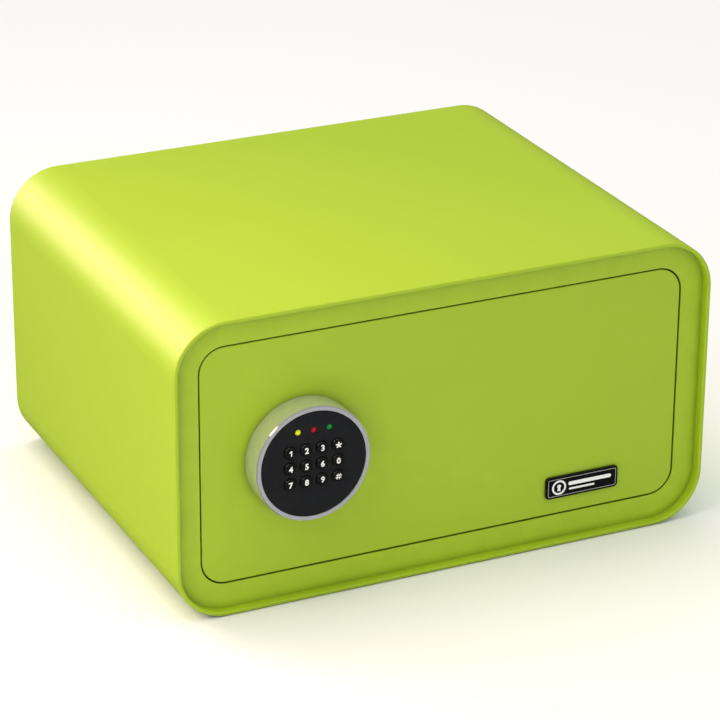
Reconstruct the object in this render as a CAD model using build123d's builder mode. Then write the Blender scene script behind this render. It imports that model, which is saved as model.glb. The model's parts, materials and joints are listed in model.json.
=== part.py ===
from build123d import *

import os
from math import cos, degrees, radians, sin, sqrt

# A small steel safe with a round keypad on its door. Millimetres.
# Origin: centre of the base. X runs to the right seen from the front, the front faces -Y, Z is up.

# --- Cabinet -----------------------------------------------------------------------------------
body_width = 430.0
body_height = 230.0
body_depth = 340.0
corner_radius = 40.0
shell_thickness = 3.0
shell_edge_round = 0.9
front_recess = 8.0  # the shell's front edge stands this far proud of the door
frame_thickness = 3.0
side_border = 21.0  # body side to door opening
top_border = 22.0  # body top or bottom to door opening
opening_radius = 20.0
back_thickness = 3.0
anchor_spacing = 240.0
anchor_hole_radius = 5.0

mat_thickness = 3.0
mat_margin = 14.0  # mat edge to the start of the shell's rounded corner
mat_front_margin = 55.0
mat_back_margin = 8.0
mat_hole_radius = 9.0
mat_lift = 0.3
mat_corner_radius = 12.0

# --- Door --------------------------------------------------------------------------------------
door_gap = 1.2
door_thickness = 4.0
door_edge_round = 0.8

pivot_inset = 45.0  # door's right edge to hinge axis
pivot_depth = 9.0  # door's front face to hinge axis
pin_radius = 4.0
pin_running_fit = 0.05
pin_chamfer = 0.8
bush_wall = 1.5
bush_rise = 1.0  # bush standing out of the bracket
pin_rise = 1.0  # pin standing out of the bush
bracket_thickness = 3.0
bracket_half_width = 16.0
bracket_reach = 15.0  # depth of the bracket's flat leg behind the frame
bracket_leg = 14.0  # height of the bracket's upright leg
bracket_gap = 1.0  # opening edge to bracket
block_half_width = 10.0
block_depth = 13.0
block_height = 24.0
block_inset = 2.0  # door's edge to block
pin_depth_in_block = 21.0

badge_width = 61.0
badge_height = 17.5
badge_thickness = 2.2
badge_radius = 3.0
badge_from_right = 78.2  # door's right edge to the badge's centre
badge_from_bottom = 22.1  # door's bottom edge to the badge's centre
badge_line_inset = 1.6
badge_line_width = 0.6
badge_line_depth = 0.4

# --- Knob and keypad ---------------------------------------------------------------------------
knob_from_left = 78.3  # door's left edge to the knob's axis
knob_drop = 0.8  # door's middle down to the knob's axis
knob_height = 20.5
knob_chamfer = 0.8
knob_door_gap = 0.4
knob_turn = 60.0  # degrees from unlocked to locked
ring_flange_thickness = 3.0
ring_fit = 0.1
hub_radius = 37.5
hub_cup_wall = 2.5
hub_ledge = 2.0
hub_floor = 3.0
hub_foot_radius = 25.4
running_gap = 0.3
axial_gap = 0.4
spigot_radius = 10.0
spigot_bore_radius = 5.0
clip_groove_depth = 1.0
clip_outer_radius = 13.0
clip_thickness = 1.2
clip_opening = 40.0  # degrees

hub_screw_count = 3
hub_screw_circle = 18.5
hub_screw_radius = 2.0
hub_screw_head_radius = 4.0
hub_screw_head_height = 2.4

face_overlap = 3.2  # how far the face reaches past the hub
face_thickness = 2.8
face_set_back = 0.2
face_edge_chamfer = 0.9
bezel_width = 2.6
bezel_rim = 0.9  # bezel to the knob's outer edge
bezel_thickness = 0.8

key_radius = 4.7
key_pitch = 12.4
key_grid_drop = 0.4  # knob axis down to the middle row
key_proud = 1.9
key_edge_round = 0.9
key_dome_height = 0.5
key_hole_gap = 0.3
key_flange_radius = 5.6
key_flange_thickness = 0.8
key_travel = 1.0
key_rows = (("1", "2", "3", "star"), ("4", "5", "6", "0"), ("7", "8", "9", "hash"))

led_names = ("led_yellow", "led_red", "led_green")
led_radius = 2.2
led_hole_gap = 0.15
led_pitch = 12.2
led_hub_margin = 3.63  # outer lamps to the hub's inner wall
led_proud = 0.9

board_thickness = 1.6
switch_dome_radius = 2.6
switch_dome_height = 0.3

# --- Lock work behind the door -----------------------------------------------------------------
lug_count = 3
lug_circle = 30.0
lug_width = 6.0
lug_half_angle = 5.0  # degrees
slot_gap = 0.4
disc_radius = 34.5
disc_thickness = 3.0
disc_gap = 0.4
drive_screw_radius = 1.5
drive_screw_head_radius = 2.7
drive_screw_head_height = 1.8
drive_screw_length = 5.0

bolt_throw = 18.0
cam_pin_radius = 4.0
cam_slot_gap = 0.35
bar_thickness = 3.0
bar_gap = 0.8  # spigot end to bar
bar_left = 35.5  # knob axis to the bar's flange, outer face
bar_right = 38.5
bar_margin = 1.0  # past the bolts, up and down
bar_corner_radius = 4.0
flange_depth = 23.0
tongue_reach = 78.0  # knob axis to the end of the tongue
tongue_half_height = 8.0
tongue_notch_width = 8.0
tongue_notch_depth = 4.5
cable_window_half_height = 5.0

bolt_radius = 9.0
bolt_half_spacing = 40.0
bolt_length = 36.0
bolt_chamfer = 1.5
bolt_depth = 22.0  # door's front face to the bolts' axis
bolt_running_fit = 0.1
bolt_hole_gap = 1.0
bolt_screw_radius = 3.0
bolt_screw_head_radius = 5.0
bolt_screw_head_height = 3.0
bolt_screw_length = 14.0

guide_thickness = 3.0
guide_from_axis = 54.5  # knob axis to the guide's inner face
guide_depth = 30.0
guide_margin = 3.0  # past the bolts, up and down
guide_foot = 12.0
guide_screw_radius = 2.0
guide_screw_head_radius = 3.8
guide_screw_head_height = 2.0

stud_base_radius = 5.0
stud_neck_radius = 3.0
stud_end = 3.3  # how far a stud reaches past the bar
stud_slot_gap = 0.3
stud_columns = (-21.5, 10.5)  # from the knob axis
stud_row = 42.0
nut_across = 10.0
nut_thickness = 2.8

strike_thickness = 3.0
strike_depth = 33.0
strike_margin = 11.0  # past the bolts, up and down
strike_shell_gap = 1.0

# --- Solenoid ----------------------------------------------------------------------------------
solenoid_from_axis = 62.5
solenoid_depth = 12.7  # door's front face to the plunger's axis
solenoid_sheet = 1.5
solenoid_half_width = 9.0
solenoid_reach = 17.0
solenoid_height = 28.0
solenoid_ear = 8.0
solenoid_screw_radius = 1.5
solenoid_screw_head_radius = 2.8
solenoid_screw_head_height = 1.6
coil_radius = 7.0
plunger_radius = 3.0
plunger_bore_gap = 0.3
plunger_length = 26.0
plunger_travel = 4.0
plunger_rest_gap = 0.3
collar_radius = 4.8
collar_rise = 1.5
collar_thickness = 1.0
spring_wire_radius = 0.3
spring_radius = 3.9
spring_turns = 5
spring_closed_length = 4.0

# --- Door back, board and batteries ------------------------------------------------------------
cover_sheet = 1.2
cover_depth = 36.0
cover_left_inset = 16.8  # door's left edge to the box of the cover
cover_right_inset = 74.8
cover_end_inset = 14.8  # door's top or bottom edge to the box of the cover
cover_radius = 8.0
cover_rim = 10.0
cover_screw_radius = 2.0
cover_screw_head_radius = 3.8
cover_screw_head_height = 2.0
cover_screw_columns = 4
cover_screw_inset = 20.0

battery_radius = 7.1
battery_length = 50.2
battery_count = 4
battery_pitch = 14.6
battery_tip_radius = 2.6
battery_tip_height = 1.2
battery_play = 1.0
box_wall = 2.0
box_depth = 18.0
contact_thickness = 0.4
contact_width = 10.0
box_from_cover_right = 12.0
window_rim = 1.0
hatch_flange = 3.0
hatch_thickness = 1.5
hatch_lift = 0.3
grip_rib_count = 4
grip_rib_pitch = 3.0
grip_rib_width = 1.2
grip_rib_length = 16.0
grip_rib_height = 0.8
grip_rib_radius = 0.5

pcb_width = 58.0
pcb_height = 62.0
pcb_from_box = 6.0
pcb_stand = 10.0
pcb_socket = (8.0, 10.0, 8.0)
standoff_radius = 2.6
standoff_inset = 4.0

reset_radius = 3.2
reset_proud = 2.5
reset_gap = 0.3
reset_flange_radius = 4.6
reset_flange_thickness = 1.0
reset_travel = 1.5
reset_switch_size = 7.0
reset_switch_height = 4.5
reset_drop = 22.0  # knob axis down to the button

cable_radius = 2.0
cable_bend_radius = 10.0
cable_depth = 18.6  # door's front face to the cable's straight run

# --- Worked out from the above -----------------------------------------------------------------
front_y = -body_depth / 2
back_y = body_depth / 2
middle_z = body_height / 2
face_y = front_y + front_recess
frame_back_y = face_y + frame_thickness
door_back_y = face_y + door_thickness
inner_radius = corner_radius - shell_thickness
inner_width = body_width - 2 * shell_thickness
inner_height = body_height - 2 * shell_thickness

opening_width = body_width - 2 * side_border
opening_height = body_height - 2 * top_border
door_width = opening_width - 2 * door_gap
door_height = opening_height - 2 * door_gap
door_radius = opening_radius - door_gap
door_left = -door_width / 2
door_right = door_width / 2
door_top = middle_z + door_height / 2
door_bottom = middle_z - door_height / 2

pivot_x = door_right - pivot_inset
pivot_y = face_y + pivot_depth

knob_x = door_left + knob_from_left
knob_z = middle_z - knob_drop
knob_front = knob_height
knob_axis = Axis((knob_x, face_y, knob_z), (0, -1, 0))

ring_flange_back = knob_door_gap
ring_flange_front = ring_flange_back + ring_flange_thickness
hub_cup_back = ring_flange_front + axial_gap - running_gap
hub_cup_floor = hub_cup_back + hub_floor
face_front = knob_front - face_set_back
face_back = face_front - face_thickness
ring_step = face_back - running_gap
ring_bore_radius = hub_radius + ring_fit
face_radius = hub_radius + face_overlap
bezel_inner_radius = face_radius + running_gap
knob_radius = bezel_inner_radius + bezel_width + bezel_rim
led_circle = hub_radius - hub_cup_wall - led_hub_margin - led_radius
led_rise = sqrt(led_circle**2 - led_pitch**2)  # knob axis up to the lamps
lug_inner_radius = lug_circle - lug_width / 2
lug_outer_radius = lug_circle + lug_width / 2
board_front = face_back - running_gap - key_flange_thickness - key_travel - 2 * switch_dome_height
board_back = board_front - board_thickness
board_radius = hub_radius - hub_cup_wall - running_gap

disc_front = -door_thickness - disc_gap
disc_back = disc_front - disc_thickness
clip_back = disc_back - running_gap - clip_thickness
spigot_end = clip_back - bar_gap
bar_front = spigot_end - bar_gap
bar_back = bar_front - bar_thickness
bar_front_y = face_y - bar_front
bar_back_y = face_y - bar_back

cam_circle = bolt_throw / (2 * sin(radians(knob_turn / 2)))
rest_angle = 90.0 - knob_turn / 2  # lug and cam pin angle when unlocked, from +X anticlockwise
hub_screw_start = rest_angle - knob_turn / 2
cam_rest_x = knob_x + cam_circle * cos(radians(rest_angle))
cam_low = cam_circle * sin(radians(rest_angle))

bolt_y = face_y + bolt_depth
bar_half_height = bolt_half_spacing + bolt_radius + bar_margin
guide_half_height = bolt_half_spacing + bolt_radius + guide_margin
strike_half_height = bolt_half_spacing + bolt_radius + strike_margin
bolt_heights = [knob_z - bolt_half_spacing, knob_z + bolt_half_spacing]
flange_x = knob_x - bar_left
guide_x = knob_x - guide_from_axis
tongue_top = knob_z + tongue_half_height
solenoid_rise = plunger_rest_gap + collar_rise + collar_thickness + plunger_travel + spring_closed_length
solenoid_x = knob_x + solenoid_from_axis
solenoid_y = face_y + solenoid_depth
coil_bottom = tongue_top + solenoid_rise + solenoid_sheet
plunger_tip = tongue_top + plunger_rest_gap
collar_top = plunger_tip + collar_rise + collar_thickness

cover_left = door_left + cover_left_inset
cover_right = door_right - cover_right_inset
cover_width = cover_right - cover_left
cover_height = door_height - 2 * cover_end_inset
cover_x = (cover_left + cover_right) / 2
cover_back_y = door_back_y + cover_depth
cover_inner_y = cover_back_y - cover_sheet

box_inner_length = battery_length + battery_tip_height + 2 * contact_thickness + battery_play
box_inner_height = battery_count * battery_pitch
box_length = box_inner_length + 2 * box_wall
box_height = box_inner_height + 2 * box_wall
box_x = cover_right - box_from_cover_right - box_length / 2
box_floor_y = cover_inner_y - box_depth
battery_y = box_floor_y + box_wall + battery_radius

pcb_x = box_x - box_length / 2 - pcb_from_box - pcb_width / 2
pcb_front_y = door_back_y + pcb_stand
pcb_back_y = pcb_front_y + board_thickness
cable_y = face_y + cable_depth
reset_x = pcb_x + pcb_width / 4
reset_z = knob_z - reset_drop
reset_switch_y = pcb_back_y + reset_switch_height

os.makedirs("parts", exist_ok=True)


def facing_front(y, x=0.0, z=0.0):
    """Plane at depth y that faces the front: its own x runs right and its own y runs up."""
    return Plane(origin=(x, y, z), x_dir=(1, 0, 0), z_dir=(0, -1, 0))


def knob_plane(forward):
    """Plane across the knob's axis, so far in front of the door's face."""
    return facing_front(face_y - forward, knob_x, knob_z)


def knob_profile():
    """Plane through the knob's axis: x is the radius, y is the height off the door's face."""
    return Plane(origin=(knob_x, face_y, knob_z), x_dir=(1, 0, 0), z_dir=(0, 0, -1))


def band(inner, outer, back, front):
    """Profile of a turned ring between two radii and two heights off the door's face."""
    with Locations(((inner + outer) / 2, (back + front) / 2)):
        Rectangle(outer - inner, front - back)


def write(piece, name):
    piece.part.label = name
    export_step(piece.part, f"parts/{name}.step")


# --- Cabinet pieces ----------------------------------------------------------------------------
with BuildPart() as shell_wrap:
    with BuildSketch(facing_front(front_y, 0, middle_z)):
        RectangleRounded(body_width, body_height, corner_radius)
        RectangleRounded(inner_width, inner_height, inner_radius, mode=Mode.SUBTRACT)
    extrude(amount=-body_depth)
    rims = shell_wrap.edges().group_by(Axis.Y)
    fillet(rims[0] + rims[-1], radius=shell_edge_round)
    with BuildSketch(Plane.XY):
        with GridLocations(anchor_spacing, 0, 2, 1):
            Circle(anchor_hole_radius)
    extrude(amount=shell_thickness, mode=Mode.SUBTRACT)
write(shell_wrap, "shell_wrap")

with BuildPart() as front_frame:
    with BuildSketch(facing_front(face_y, 0, middle_z)):
        RectangleRounded(inner_width, inner_height, inner_radius)
        RectangleRounded(opening_width, opening_height, opening_radius, mode=Mode.SUBTRACT)
    extrude(amount=-frame_thickness)
write(front_frame, "front_frame")

with BuildPart() as back_panel:
    with BuildSketch(facing_front(back_y - back_thickness, 0, middle_z)):
        RectangleRounded(inner_width, inner_height, inner_radius)
        with GridLocations(anchor_spacing, 0, 2, 1):
            Circle(anchor_hole_radius, mode=Mode.SUBTRACT)
    extrude(amount=-back_thickness)
write(back_panel, "back_panel")

mat_width = body_width - 2 * corner_radius - 2 * mat_margin
mat_front_y = frame_back_y + mat_front_margin
mat_back_y = back_y - back_thickness - mat_back_margin
with BuildPart() as floor_mat:
    with BuildSketch(Plane.XY.offset(shell_thickness + mat_lift)):
        with Locations((0, (mat_front_y + mat_back_y) / 2)):
            RectangleRounded(mat_width, mat_back_y - mat_front_y, mat_corner_radius)
        with GridLocations(anchor_spacing, 0, 2, 1):
            Circle(mat_hole_radius, mode=Mode.SUBTRACT)
    extrude(amount=mat_thickness)
write(floor_mat, "floor_mat")

# The strike plate is an angle: one leg behind the frame, one leg inwards with the bolt holes.
opening_left = -opening_width / 2
strike_leg = side_border - shell_thickness - strike_shell_gap
with BuildPart() as strike_plate:
    with BuildSketch(facing_front(frame_back_y, opening_left - strike_leg / 2, knob_z)):
        Rectangle(strike_leg, 2 * strike_half_height)
    extrude(amount=-strike_thickness)
    with BuildSketch(facing_front(frame_back_y, opening_left - strike_thickness / 2, knob_z)):
        Rectangle(strike_thickness, 2 * strike_half_height)
    extrude(amount=-strike_depth)
    with BuildSketch(Plane.YZ.offset(opening_left)):
        with Locations(*[(bolt_y, z) for z in bolt_heights]):
            Circle(bolt_radius + bolt_hole_gap)
    extrude(amount=-strike_thickness, mode=Mode.SUBTRACT)
write(strike_plate, "strike_plate")

# --- Hinge -------------------------------------------------------------------------------------
# Upper and lower halves are alike, mirrored about the door's middle.
bracket_z = middle_z + opening_height / 2 + bracket_gap
bush_outer = pin_radius + pin_running_fit + bush_wall
bush_top = bracket_z + bracket_thickness + bush_rise
pin_end_z = bush_top + pin_rise
door_middle = Plane.XY.offset(middle_z)

with BuildPart() as hinge_brackets:
    with BuildSketch(Plane.XY.offset(bracket_z)):
        with Locations((pivot_x, frame_back_y + bracket_reach / 2)):
            Rectangle(2 * bracket_half_width, bracket_reach)
    extrude(amount=bracket_thickness)
    with BuildSketch(facing_front(frame_back_y, pivot_x, bracket_z + bracket_leg / 2)):
        Rectangle(2 * bracket_half_width, bracket_leg)
    extrude(amount=-bracket_thickness)
    with BuildSketch(Plane.XY.offset(bracket_z)):
        with Locations((pivot_x, pivot_y)):
            Circle(bush_outer)
    extrude(amount=bracket_thickness, mode=Mode.SUBTRACT)
    with BuildSketch(Plane.XY.offset(bracket_z + bracket_thickness)):
        with Locations((pivot_x, pivot_y)):
            Circle(bush_outer + axial_gap)
    extrude(amount=pin_end_z - bracket_z, mode=Mode.SUBTRACT)
    mirror(about=door_middle)
write(hinge_brackets, "hinge_brackets")

with BuildPart() as hinge_bushes:
    with BuildSketch(Plane.XY.offset(bracket_z)):
        with Locations((pivot_x, pivot_y)):
            Circle(bush_outer)
            Circle(pin_radius + pin_running_fit, mode=Mode.SUBTRACT)
    extrude(amount=bush_top - bracket_z)
    mirror(about=door_middle)
write(hinge_bushes, "hinge_bushes")

block_top = door_top - block_inset
with BuildPart() as hinge_blocks:
    with BuildSketch(Plane.XY.offset(block_top)):
        with Locations((pivot_x, door_back_y + block_depth / 2)):
            Rectangle(2 * block_half_width, block_depth)
    extrude(amount=-block_height)
    fillet(hinge_blocks.edges().filter_by(Axis.Z).group_by(Axis.Y)[-1], radius=door_thickness / 2)
    with BuildSketch(Plane.XY.offset(block_top)):
        with Locations((pivot_x, pivot_y)):
            Circle(pin_radius)
    extrude(amount=-pin_depth_in_block, mode=Mode.SUBTRACT)
    mirror(about=door_middle)
write(hinge_blocks, "hinge_blocks")

with BuildPart() as hinge_pins:
    with BuildSketch(Plane.XY.offset(pin_end_z)):
        with Locations((pivot_x, pivot_y)):
            Circle(pin_radius)
    extrude(amount=block_top - pin_depth_in_block - pin_end_z)
    chamfer(hinge_pins.edges().group_by(Axis.Z)[-1], length=pin_chamfer)
    mirror(about=door_middle)
write(hinge_pins, "hinge_pins")

# --- Door --------------------------------------------------------------------------------------
slot_half_angle = lug_half_angle + degrees(slot_gap / lug_circle)


def ring_sector(inner, outer, start, sweep):
    """Sector of a ring, as a sketch: the lugs and the slots that they turn in."""
    with BuildSketch(mode=Mode.PRIVATE) as sector:
        with BuildLine():
            near = CenterArc((0, 0), inner, start, sweep)
            far = CenterArc((0, 0), outer, start, sweep)
            Line(near @ 0, far @ 0)
            Line(near @ 1, far @ 1)
        make_face()
    add(sector.sketch)


with BuildPart() as door_panel:
    with BuildSketch(facing_front(face_y, 0, middle_z)):
        RectangleRounded(door_width, door_height, door_radius)
    extrude(amount=-door_thickness)
    fillet(door_panel.edges().group_by(Axis.Y)[0], radius=door_edge_round)
    with BuildSketch(knob_plane(0)):
        Circle(spigot_radius)
        with PolarLocations(hub_screw_circle, hub_screw_count, hub_screw_start):
            Circle(hub_screw_radius)
        for lug in range(lug_count):
            ring_sector(
                lug_inner_radius - slot_gap,
                lug_outer_radius + slot_gap,
                rest_angle + lug * 360 / lug_count - slot_half_angle,
                knob_turn + 2 * slot_half_angle,
            )
    extrude(amount=-door_thickness, mode=Mode.SUBTRACT)
write(door_panel, "door_panel")

badge_x = door_right - badge_from_right
badge_z = door_bottom + badge_from_bottom
badge_front_y = face_y - badge_thickness


def badge_outline(inset):
    RectangleRounded(badge_width - 2 * inset, badge_height - 2 * inset, badge_radius - inset)


with BuildPart() as badge:
    with BuildSketch(facing_front(face_y, badge_x, badge_z)):
        badge_outline(0)
    extrude(amount=badge_thickness)
    fillet(badge.edges().group_by(Axis.Y)[0], radius=badge_thickness / 4)
    with BuildSketch(facing_front(badge_front_y, badge_x, badge_z)):
        badge_outline(badge_line_inset)
        with BuildSketch(mode=Mode.PRIVATE) as inside:
            badge_outline(badge_line_inset + badge_line_width)
        add(inside.sketch, mode=Mode.SUBTRACT)
    extrude(amount=-badge_line_depth, mode=Mode.SUBTRACT)
write(badge, "badge")

with BuildPart() as badge_border:
    with BuildSketch(facing_front(badge_front_y, badge_x, badge_z)):
        badge_outline(badge_line_inset)
        with BuildSketch(mode=Mode.PRIVATE) as inside:
            badge_outline(badge_line_inset + badge_line_width)
        add(inside.sketch, mode=Mode.SUBTRACT)
    extrude(amount=-badge_line_depth)
write(badge_border, "badge_border")

# --- Knob --------------------------------------------------------------------------------------
with BuildPart() as knob_ring:
    with BuildSketch(knob_profile()):
        band(ring_bore_radius, knob_radius, ring_flange_back, knob_front)
        band(hub_foot_radius + running_gap, knob_radius, ring_flange_back, ring_flange_front)
    revolve(axis=knob_axis)
    with BuildSketch(knob_profile()):
        band(0, bezel_inner_radius, ring_step, knob_front)
        band(0, bezel_inner_radius + bezel_width, knob_front - bezel_thickness, knob_front)
    revolve(axis=knob_axis, mode=Mode.SUBTRACT)
    outer_rim = knob_ring.edges().filter_by(GeomType.CIRCLE).sort_by(SortBy.RADIUS).group_by(Axis.Y)
    chamfer(outer_rim[0].sort_by(SortBy.RADIUS)[-1], length=knob_chamfer)
    with BuildSketch(knob_plane(ring_flange_back)):
        for lug in range(lug_count):
            ring_sector(
                lug_inner_radius,
                lug_outer_radius,
                rest_angle + lug * 360 / lug_count - lug_half_angle,
                2 * lug_half_angle,
            )
    extrude(amount=disc_front - ring_flange_back)
    with BuildSketch(knob_plane(disc_front)):
        with PolarLocations(lug_circle, lug_count, rest_angle):
            Circle(drive_screw_radius)
    extrude(amount=drive_screw_length - disc_thickness, mode=Mode.SUBTRACT)
write(knob_ring, "knob_ring")

with BuildPart() as knob_bezel:
    with BuildSketch(knob_profile()):
        band(bezel_inner_radius, bezel_inner_radius + bezel_width, knob_front - bezel_thickness, knob_front)
    revolve(axis=knob_axis)
write(knob_bezel, "knob_bezel")

with BuildPart() as drive_disc:
    with BuildSketch(knob_plane(disc_front)):
        Circle(disc_radius)
        Circle(spigot_radius + ring_fit, mode=Mode.SUBTRACT)
        with PolarLocations(lug_circle, lug_count, rest_angle):
            Circle(drive_screw_radius, mode=Mode.SUBTRACT)
        with PolarLocations(cam_circle, 1, rest_angle):
            Circle(cam_pin_radius, mode=Mode.SUBTRACT)
    extrude(amount=-disc_thickness)
write(drive_disc, "drive_disc")

with BuildPart() as drive_screws:
    with BuildSketch(knob_plane(disc_back)):
        with PolarLocations(lug_circle, lug_count, rest_angle):
            Circle(drive_screw_radius)
    extrude(amount=drive_screw_length)
    with BuildSketch(knob_plane(disc_back)):
        with PolarLocations(lug_circle, lug_count, rest_angle):
            Circle(drive_screw_head_radius)
    extrude(amount=-drive_screw_head_height)
write(drive_screws, "drive_screws")

with BuildPart() as cam_pin:
    with BuildSketch(knob_plane(disc_front)):
        with PolarLocations(cam_circle, 1, rest_angle):
            Circle(cam_pin_radius)
    extrude(amount=bar_back - disc_front - bar_gap)
    fillet(cam_pin.edges().group_by(Axis.Y)[-1], radius=cam_pin_radius / 8)
write(cam_pin, "cam_pin")

# --- Keypad ------------------------------------------------------------------------------------
key_places = {
    name: ((column - 1.5) * key_pitch, (1 - row) * key_pitch - key_grid_drop)
    for row, names in enumerate(key_rows)
    for column, name in enumerate(names)
}
led_places = {name: ((n - 1) * led_pitch, led_rise) for n, name in enumerate(led_names)}

with BuildPart() as keypad_hub:
    with BuildSketch(knob_profile()):
        band(0, hub_radius, hub_cup_back, face_back)
        band(0, hub_foot_radius, 0, hub_cup_back)
        band(0, spigot_radius, spigot_end, 0)
    revolve(axis=knob_axis)
    with BuildSketch(knob_profile()):
        band(0, hub_radius - hub_cup_wall, board_back, face_back)
        band(0, hub_radius - hub_cup_wall - hub_ledge, hub_cup_floor, board_back)
        band(0, spigot_bore_radius, spigot_end, hub_cup_floor)
        band(spigot_radius - clip_groove_depth, spigot_radius, clip_back, clip_back + clip_thickness)
    revolve(axis=knob_axis, mode=Mode.SUBTRACT)
    with BuildSketch(knob_plane(hub_cup_floor)):
        with PolarLocations(hub_screw_circle, hub_screw_count, hub_screw_start):
            Circle(hub_screw_radius)
    extrude(amount=-hub_cup_floor, mode=Mode.SUBTRACT)
write(keypad_hub, "keypad_hub")

with BuildPart() as hub_screws:
    with BuildSketch(knob_plane(-door_thickness)):
        with PolarLocations(hub_screw_circle, hub_screw_count, hub_screw_start):
            Circle(hub_screw_radius)
    extrude(amount=door_thickness + hub_cup_floor)
    with BuildSketch(knob_plane(hub_cup_floor)):
        with PolarLocations(hub_screw_circle, hub_screw_count, hub_screw_start):
            Circle(hub_screw_head_radius)
    extrude(amount=hub_screw_head_height)
write(hub_screws, "hub_screws")

with BuildPart() as hub_clip:
    with BuildSketch(knob_plane(clip_back)):
        ring_sector(
            spigot_radius - clip_groove_depth,
            clip_outer_radius,
            -90 + clip_opening / 2,
            360 - clip_opening,
        )
    extrude(amount=clip_thickness)
write(hub_clip, "hub_clip")

with BuildPart() as keypad_face:
    with BuildSketch(knob_plane(face_back)):
        Circle(face_radius)
    extrude(amount=face_thickness)
    chamfer(keypad_face.edges().group_by(Axis.Y)[0], length=face_edge_chamfer)
    with BuildSketch(knob_plane(face_back)):
        with Locations(*key_places.values()):
            Circle(key_radius + key_hole_gap)
        with Locations(*led_places.values()):
            Circle(led_radius + led_hole_gap)
    extrude(amount=face_thickness, mode=Mode.SUBTRACT)
write(keypad_face, "keypad_face")

with BuildPart() as keypad_board:
    with BuildSketch(knob_plane(board_back)):
        Circle(board_radius)
    extrude(amount=board_thickness)
    with BuildSketch(knob_plane(board_front)):
        with Locations(*key_places.values()):
            Circle(switch_dome_radius)
    extrude(amount=switch_dome_height)
write(keypad_board, "keypad_board")

key_front = face_front + key_proud
key_flange_front = face_back - running_gap
key_flange_back = key_flange_front - key_flange_thickness
for key_name, (across, up) in key_places.items():
    key_axis = Axis((knob_x + across, face_y, knob_z + up), (0, -1, 0))
    key_plane = Plane(origin=(knob_x + across, face_y, knob_z + up), x_dir=(1, 0, 0), z_dir=(0, 0, -1))
    with BuildPart() as key:
        with BuildSketch(key_plane) as key_profile:
            with BuildLine():
                shoulder = key_front - key_dome_height
                crown = ThreePointArc(
                    (0, key_front),
                    (key_radius / 2, key_front - key_dome_height / 4),
                    (key_radius, shoulder),
                )
                Polyline(
                    crown @ 1,
                    (key_radius, key_flange_front),
                    (key_flange_radius, key_flange_front),
                    (key_flange_radius, key_flange_back),
                    (0, key_flange_back),
                    crown @ 0,
                )
            make_face()
            rim = key_profile.vertices().sort_by_distance((key_radius, shoulder))[0]
            fillet(rim, radius=key_edge_round)
        revolve(axis=key_axis)
    write(key, f"key_{key_name}")

for led_name, (across, up) in led_places.items():
    led_axis = Axis((knob_x + across, face_y, knob_z + up), (0, -1, 0))
    led_plane = Plane(origin=(knob_x + across, face_y, knob_z + up), x_dir=(1, 0, 0), z_dir=(0, 0, -1))
    led_front = face_front + led_proud
    with BuildPart() as led:
        with BuildSketch(led_plane):
            with BuildLine():
                lens = ThreePointArc(
                    (0, led_front),
                    (led_radius / 2, led_front - led_proud / 4),
                    (led_radius, face_front),
                )
                Polyline(lens @ 1, (led_radius, board_front), (0, board_front), lens @ 0)
            make_face()
        revolve(axis=led_axis)
    write(led, led_name)

# --- Bolt work ---------------------------------------------------------------------------------
with BuildPart() as bolt_bar:
    with BuildSketch(facing_front(bar_front_y, knob_x, knob_z)):
        with Locations(((bar_right - bar_left) / 2, 0)):
            RectangleRounded(bar_left + bar_right, 2 * bar_half_height, bar_corner_radius)
        with Locations((tongue_reach / 2, 0)):
            Rectangle(tongue_reach, 2 * tongue_half_height)
        with Locations((-bar_left + bar_corner_radius / 2, 0)):
            Rectangle(bar_corner_radius, 2 * bar_half_height)
        with Locations((bolt_throw / 2, 0)):
            SlotOverall(
                bolt_throw + 2 * cable_window_half_height,
                2 * cable_window_half_height,
                mode=Mode.SUBTRACT,
            )
        with Locations((cam_rest_x - knob_x, (cam_low + cam_circle) / 2)):
            SlotOverall(
                cam_circle - cam_low + 2 * (cam_pin_radius + cam_slot_gap),
                2 * (cam_pin_radius + cam_slot_gap),
                rotation=90,
                mode=Mode.SUBTRACT,
            )
        with Locations(*[(x + bolt_throw / 2, z) for x in stud_columns for z in (-stud_row, stud_row)]):
            SlotOverall(
                bolt_throw + 2 * (stud_neck_radius + stud_slot_gap),
                2 * (stud_neck_radius + stud_slot_gap),
                mode=Mode.SUBTRACT,
            )
        with Locations((solenoid_from_axis + bolt_throw, tongue_half_height - tongue_notch_depth / 2)):
            Rectangle(tongue_notch_width, tongue_notch_depth, mode=Mode.SUBTRACT)
    extrude(amount=-bar_thickness)
    with BuildSketch(facing_front(bar_front_y, flange_x + bar_thickness / 2, knob_z)):
        Rectangle(bar_thickness, 2 * bar_half_height)
    extrude(amount=-flange_depth)
    with BuildSketch(Plane.YZ.offset(flange_x)):
        with Locations(*[(bolt_y, z) for z in bolt_heights]):
            Circle(bolt_screw_radius)
    extrude(amount=bar_thickness, mode=Mode.SUBTRACT)
write(bolt_bar, "bolt_bar")

with BuildPart() as live_bolts:
    with BuildSketch(Plane.YZ.offset(flange_x)):
        with Locations(*[(bolt_y, z) for z in bolt_heights]):
            Circle(bolt_radius)
    extrude(amount=-bolt_length)
    chamfer(live_bolts.edges().group_by(Axis.X)[0], length=bolt_chamfer)
    with BuildSketch(Plane.YZ.offset(flange_x)):
        with Locations(*[(bolt_y, z) for z in bolt_heights]):
            Circle(bolt_screw_radius)
    extrude(amount=bar_thickness - bolt_screw_length, mode=Mode.SUBTRACT)
write(live_bolts, "live_bolts")

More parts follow.
